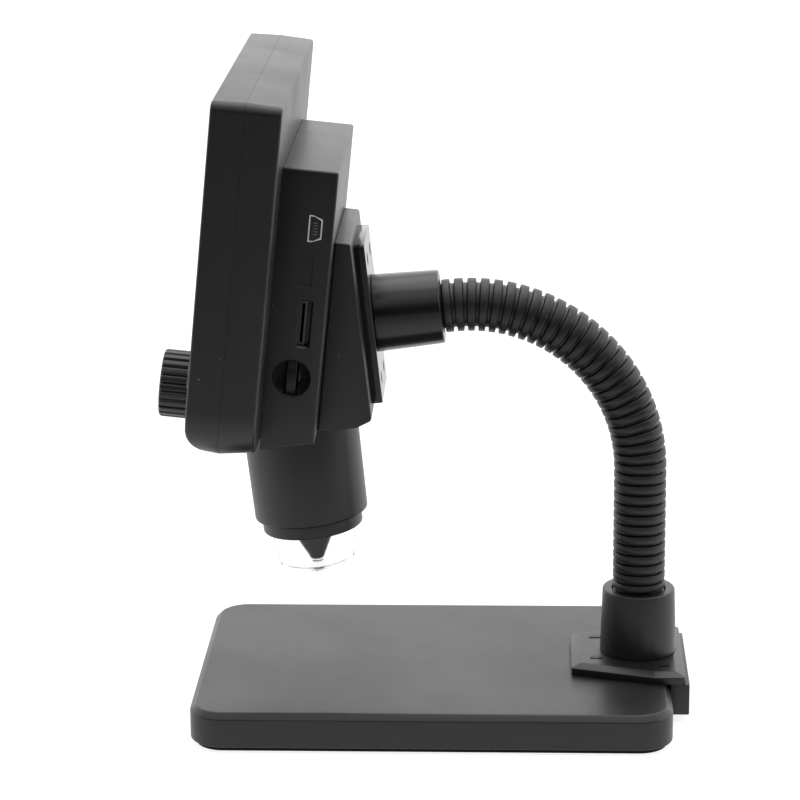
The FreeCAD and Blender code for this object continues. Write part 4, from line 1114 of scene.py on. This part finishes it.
class ScopePortHousing(bpy.types.Operator):
    """Port housing with its sockets, slot, bare recess and dial bowl, and the wedge cover."""
    bl_idname = "scope.port_housing"
    bl_label = "Port housing"

    def execute(self, context):
        h = context.scene.scope_head
        self.housing(h)
        self.wedge(h)
        return {"FINISHED"}

    def housing(self, h):
        """Hollow housing whose lower face follows the lens tube's slanted top."""
        front = h.front + h.rear
        back = front + h.mid_d
        x = h.mid_w / 2
        wall = h.wall
        rings = []
        for depth in (back - wall, front):
            inner = rectangle(x - 1.3, tube_cut_height(h, depth), h.mid_top)
            rings.append(rings_of(inner, 0.8, [(depth, wall + 0.3)], 5)[0])
        rows = [(front, wall), (front, 0.3), (front + 0.1, 0.0)]
        rows += edge_rows(front + 0.3, back, 0.1, 0.8, 0.0, 0.0, 6)[5:]
        for depth, inset in rows:
            outline = rectangle(x, tube_cut_height(h, depth), h.mid_top)
            rings.append(rings_of(outline, 0.8, [(depth, inset)], 5)[0])
        piece = head_shell("port_case", stack_shell(along_y(np.stack(rings))), "mid_housing", 28)
        carve(piece, self.cutters(x) + [rack_opening(h)])

    def cutters(self, x):
        """Sockets' holes with flared mouths, the shallow recess, the dial's bowl and its slit.

        The bowl is a cap of a sphere: R = (r^2 + deep^2) / (2 deep).
        """
        def pocket(name, y0, y1, z0, z1, deep, flare, radius):
            """Cutter with a flared mouth; y0 and y1 count from the sockets' row."""
            outline = [(SOCKET_Y + y0, z0), (SOCKET_Y + y1, z0), (SOCKET_Y + y1, z1), (SOCKET_Y + y0, z1)]
            rows = [(x - deep, 0.0), (x - flare, 0.0), (x + 0.01, -flare), (x + 1, -flare)]
            return cutter(name, prism(along_x, outline, radius, rows, 4), in_screen)

        bowl_r, bowl_deep = 5.5, 3.0
        reach = (bowl_r ** 2 + bowl_deep ** 2) / (2 * bowl_deep)
        a = np.linspace(0, math.asin(bowl_r / reach), 12)
        dome = [(reach * math.sin(t), x - bowl_deep + reach * (1 - math.cos(t))) for t in a]
        dome += [(bowl_r + 0.35, x + 0.4), (bowl_r + 0.35, x + 1.5), (0, x + 1.5)]
        mouth = [(x - 2.6, 0.0), (x - 0.15, 0.0), (x + 0.2, -0.3), (x + 1, -0.3)]
        gap, near, far = DIAL_R + 0.45, DIAL_Y - 1.9, DIAL_Y + 1.9
        wheel = [(0, near), (gap, near), (gap, far), (0, far)]
        return [
            cutter("usb", prism(along_x, socket_outline(0.1), 0.3, mouth, 3), in_screen),
            pocket("card", -0.2, 2.8, -71.5, -58.5, 2.6, 0.55, 0.3),
            pocket("card_deep", -0.1, 1.8, -70.6, -58.8, 16.0, 0.0, 0.2),
            pocket("recess", -1.4, 2.2, -54.0, -45.6, 0.4, 0.1, 0.3),
            cutter("bowl", spun_x(dome, (DIAL_Y, DIAL_Z), around=72), in_screen),
            cutter("dial", spun_y(wheel, (DIAL_X, DIAL_Z), around=72), in_screen),
        ]

    def wedge(self, h):
        """Wedge from the port housing's back to the plane behind the lens tube that the plate seats on."""
        t = math.radians(h.twist)
        front = h.front + h.rear + h.mid_d
        back, low, top = h.wedge_back, h.tube_top, h.wedge_top

        def screen(y, z):
            """Point of the tube's frame, as (y, z) in the screen frame."""
            return y * math.cos(t) - z * math.sin(t), y * math.sin(t) + z * math.cos(t)

        points = [(front - 0.02, tube_cut_height(h, front)), screen(back - 4.5, low), screen(back, low + 1.7),
                  ((back - top * math.sin(t)) / math.cos(t), top), (front - 0.02, top)]
        x = h.wedge_w / 2
        rows = edge_rows(-x, x, 0.6, 0.6, 0.0, 0.0, 5)
        shell = prism(along_x, points, [0.3, 1.2, 1.2, 0.8, 0.3], rows, 5)
        head_shell("wedge_case", shell, "wedge_cover", 30)


class ScopePorts(bpy.types.Operator):
    """Socket contacts, the card slot's metal, and the dimmer's knurled wheel."""
    bl_idname = "scope.ports"
    bl_label = "Ports and dimmer"

    def execute(self, context):
        bright = brushed("socket steel", (0.82, 0.82, 0.83), 0.24)
        gold = brushed("contact gold", (0.24, 0.22, 0.17), 0.4)
        # Dark steel for the card socket: painted shade for the inside of the card slot, not a darker metal
        dull = brushed("dull socket steel", (0.10, 0.10, 0.105), 0.4)
        refinish("usb_socket", bright)
        refinish("card_socket", dull)
        side = context.scene.scope_head.mid_w / 2
        insert = prism(along_x, socket_outline(-0.42), 0.2, edge_rows(29.0, side - 0.05, 0.1, 0.1), 3)
        add_piece("socket_insert", [insert], "head", black("small part black"), in_screen)
        depth = edge_rows(35.0, side - 0.02, 0.02, 0.03)
        near, far, half = SOCKET_Y + 1.3, SOCKET_Y + 2.6, 0.12
        strips = []
        for i in range(5):
            z = SOCKET_Z + (i - 2) * 0.8
            outline = [(near, z - half), (far, z - half), (far, z + half), (near, z + half)]
            strips.append(prism(along_x, outline, 0.02, depth, 2))
        add_piece("socket_contacts", strips, "head", gold, in_screen)
        self.dial()
        return {"FINISHED"}

    def dial(self):
        """Finely knurled wheel: r = R - depth ((1 - cos(78 a)) / 2)^1.5 near its edge."""
        def knurl(a, r):
            """Change of radius by the fine knurl."""
            return -0.28 * np.clip((r - DIAL_R + 0.8) / 0.6, 0, 1) * (0.5 - 0.5 * np.cos(78 * a)) ** 1.5

        bore, near, far, bevel = 1.56, DIAL_Y - 1.4, DIAL_Y + 1.4, 0.15
        rim = DIAL_R - bevel
        profile = [(bore, near), (rim, near), (DIAL_R, near + bevel), (DIAL_R, far - bevel), (rim, far),
                   (bore, far)]
        line = soften(profile, [0.1, 0.3, 0.3, 0.3, 0.3, 0.1], 3, True)
        shell = spun_y(line, (DIAL_X, DIAL_Z), around=624, closed=True, ripple=knurl)
        add_piece("dimmer_wheel", [shell], "dimmer", black("small part black"), in_screen,
                  replaces=("dimmer_dial",))


# Focus knob and lens tube

class ScopeKnob(bpy.types.Operator):
    """Focus knob with twenty-four flutes along its axis: r = R - depth cos(24 a)^2 near its edge."""
    bl_idname = "scope.knob"
    bl_label = "Focus knob"

    def execute(self, context):
        h = context.scene.scope_head
        front, back, radius, deep = -12.8, -0.6, 10.0, 0.6

        def flutes(a, r):
            """Change of radius by the flutes."""
            near_edge = np.clip((r - (radius - 1.2)) / 0.7, 0, 1)
            return -deep * near_edge * np.clip(np.cos(24 * a), 0, 1) ** 2

        dish = front + 0.35
        profile = [(0, dish), (radius - 2.6, dish), (radius - 2.0, front), (radius, front), (radius, back),
                   (0, back)]
        line = soften(profile, [0, 0.5, 0.4, 1.1, 0.9, 0], 6, False)
        shell = spun_y(line, (0, h.knob_z), around=288, ripple=flutes)
        add_piece("focus_grip", [shell], "focus_drive", black("small part black"), in_screen, smooth=40,
                  replaces=("focus_knob",))
        return {"FINISHED"}


class ScopeLensTube(bpy.types.Operator):
    """Lens tube, its lower ring, the lamps, the dark hood and the clear cup."""
    bl_idname = "scope.lens_tube"
    bl_label = "Lens tube"

    def execute(self, context):
        h = context.scene.scope_head
        top = h.tube_top
        low = top - 31.0
        ring_low = low - 4.2
        cup_low = ring_low - 11.6
        floor = cup_low + 1.2
        hood_top = low + 2.0

        def piece(name, node, profile, radii, finish, slot="black_barrel", around=128):
            """Closed profile (radius, height) spun about the tube's axis."""
            shell = moved(spun(soften(profile, radii, 5, True), around, closed=True), (0, h.axis_y, 0))
            return add_piece(name, [shell], "head", finish, in_tube, smooth=35, replaces=(node,))

        tube_r, foot_r, bore_r, hole_r, roof = 17.1, 16.8, 15.0, 3.0, top - 2
        tube = [(hole_r, top), (tube_r, top), (foot_r, low), (bore_r, low), (bore_r, roof), (hole_r, roof)]
        tube_black = black("tube black")
        case = piece("tube_case", "lens_barrel", tube, [0.1, 0.5, 0.7, 0.3, 0.3, 0.1], tube_black)
        carve(case, [rack_opening(h)])
        ring_r, ring_bore = 14.85, 12.8
        ring = [(ring_bore, ring_low), (ring_r, ring_low), (ring_r, hood_top), (ring_bore, hood_top)]
        piece("tube_ring", "barrel_ring", ring, [0.3, 0.6, 0.2, 0.2], tube_black)
        cup_r, inside_r, tip_r, eye_r, rim = 12.75, 11.55, 11.0, 1.9, low - 0.5
        cup = [(inside_r, rim), (cup_r, rim), (cup_r, ring_low), (tip_r, cup_low), (eye_r, cup_low),
               (eye_r, floor), (tip_r - 1.2, floor), (inside_r, ring_low)]
        clear = clear_plastic("clear tip", (0.98, 0.98, 0.98), 0.16, 1.16)
        piece("clear_tip", "clear_cup", cup, [0.1, 0.1, 0.4, 1.2, 0.2, 0.2, 0.8, 0.3], clear, "clear", 96)
        hood_r, end_r, wall, waist, tip = 8.5, 1.9, 0.6, hood_top - 3, floor + 0.2
        hood = [(hood_r - wall, hood_top), (hood_r, hood_top), (hood_r, waist), (end_r, tip),
                (end_r - wall, tip), (hood_r - wall, waist)]
        # Grey lighter than the hood's own black: painted light for the glow the clear cup scatters over it
        grey = moulded("hood grey with painted cup glow", (0.035, 0.035, 0.036), 0.6, 0.6, 0.1, 0.2)
        piece("light_hood", "lens_hood", hood, [0.1, 0.1, 0.5, 0.1, 0.1, 0.5], grey, around=64)
        refinish("led_lamps", glowing("lamp", (1.0, 0.96, 0.8), 0.3))
        return {"FINISHED"}


class ScopeInside(bpy.types.Operator):
    """Finishes of the inner parts that keep their solid shape."""
    bl_idname = "scope.inside"
    bl_label = "Inner parts"

    def execute(self, context):
        board = circuit("board green", (0.02, 0.16, 0.07))
        steel = brushed("plate steel", (0.5, 0.5, 0.52), 0.38)
        grey = moulded("link grey", (0.12, 0.12, 0.12), 0.5, grain=0.6, dust=0.1)
        wrap = moulded("cell wrap", (0.32, 0.33, 0.36), 0.3, grain=0.2, dust=0.0)
        dark = black("small part black")
        lens = clear_plastic("lens glass", (0.85, 0.92, 1.0), 0.0, 1.52)
        chosen = {
            "main_board": board, "key_board": board, "led_board": board, "sensor_board": board,
            "base_ballast": steel, "pinion_shaft": steel, "battery_cell": wrap, "dimmer_pot": dark,
            "lens_carriage": dark, "lens_cell": dark, "focus_rack": dark, "shaft_bearing": dark,
            "lens_glass": lens,
        }
        chosen.update({"neck_link_%d" % i: grey for i in range(8)})
        for name, finish in chosen.items():
            refinish(name, finish)
        return {"FINISHED"}


class SCOPE_PT_panel(bpy.types.Panel):
    """Lists the build steps and their sizes."""
    bl_label = "Microscope"
    bl_idname = "SCOPE_PT_panel"
    bl_space_type = "VIEW_3D"
    bl_region_type = "UI"
    bl_category = "Microscope"

    def draw(self, context):
        for step in STEPS:
            self.layout.operator(step.bl_idname)
        for group, kind in GROUPS.items():
            box = self.layout.box()
            for name in kind.__annotations__:
                box.prop(getattr(context.scene, group), name)


STEPS = (ScopeStage, ScopeBaseShell, ScopeFoot, ScopeNeckHose, ScopeHeadPlate, ScopeScreenHousing, ScopeKeys,
         ScopePortHousing, ScopePorts, ScopeKnob, ScopeLensTube, ScopeInside)
CLASSES = tuple(GROUPS.values()) + STEPS + (SCOPE_PT_panel,)


def register():
    """Makes the property groups, the operators and the panel known to Blender."""
    for cls in CLASSES:
        bpy.utils.register_class(cls)
    for name, kind in GROUPS.items():
        setattr(bpy.types.Scene, name, PointerProperty(type=kind))


def unregister():
    """Undoes register."""
    for name in GROUPS:
        delattr(bpy.types.Scene, name)
    for cls in reversed(CLASSES):
        bpy.utils.unregister_class(cls)


def main():
    """Builds every piece in order."""
    register()
    for step in STEPS:
        area, name = step.bl_idname.split(".")
        getattr(getattr(bpy.ops, area), name)()


if __name__ == "__main__":
    main()
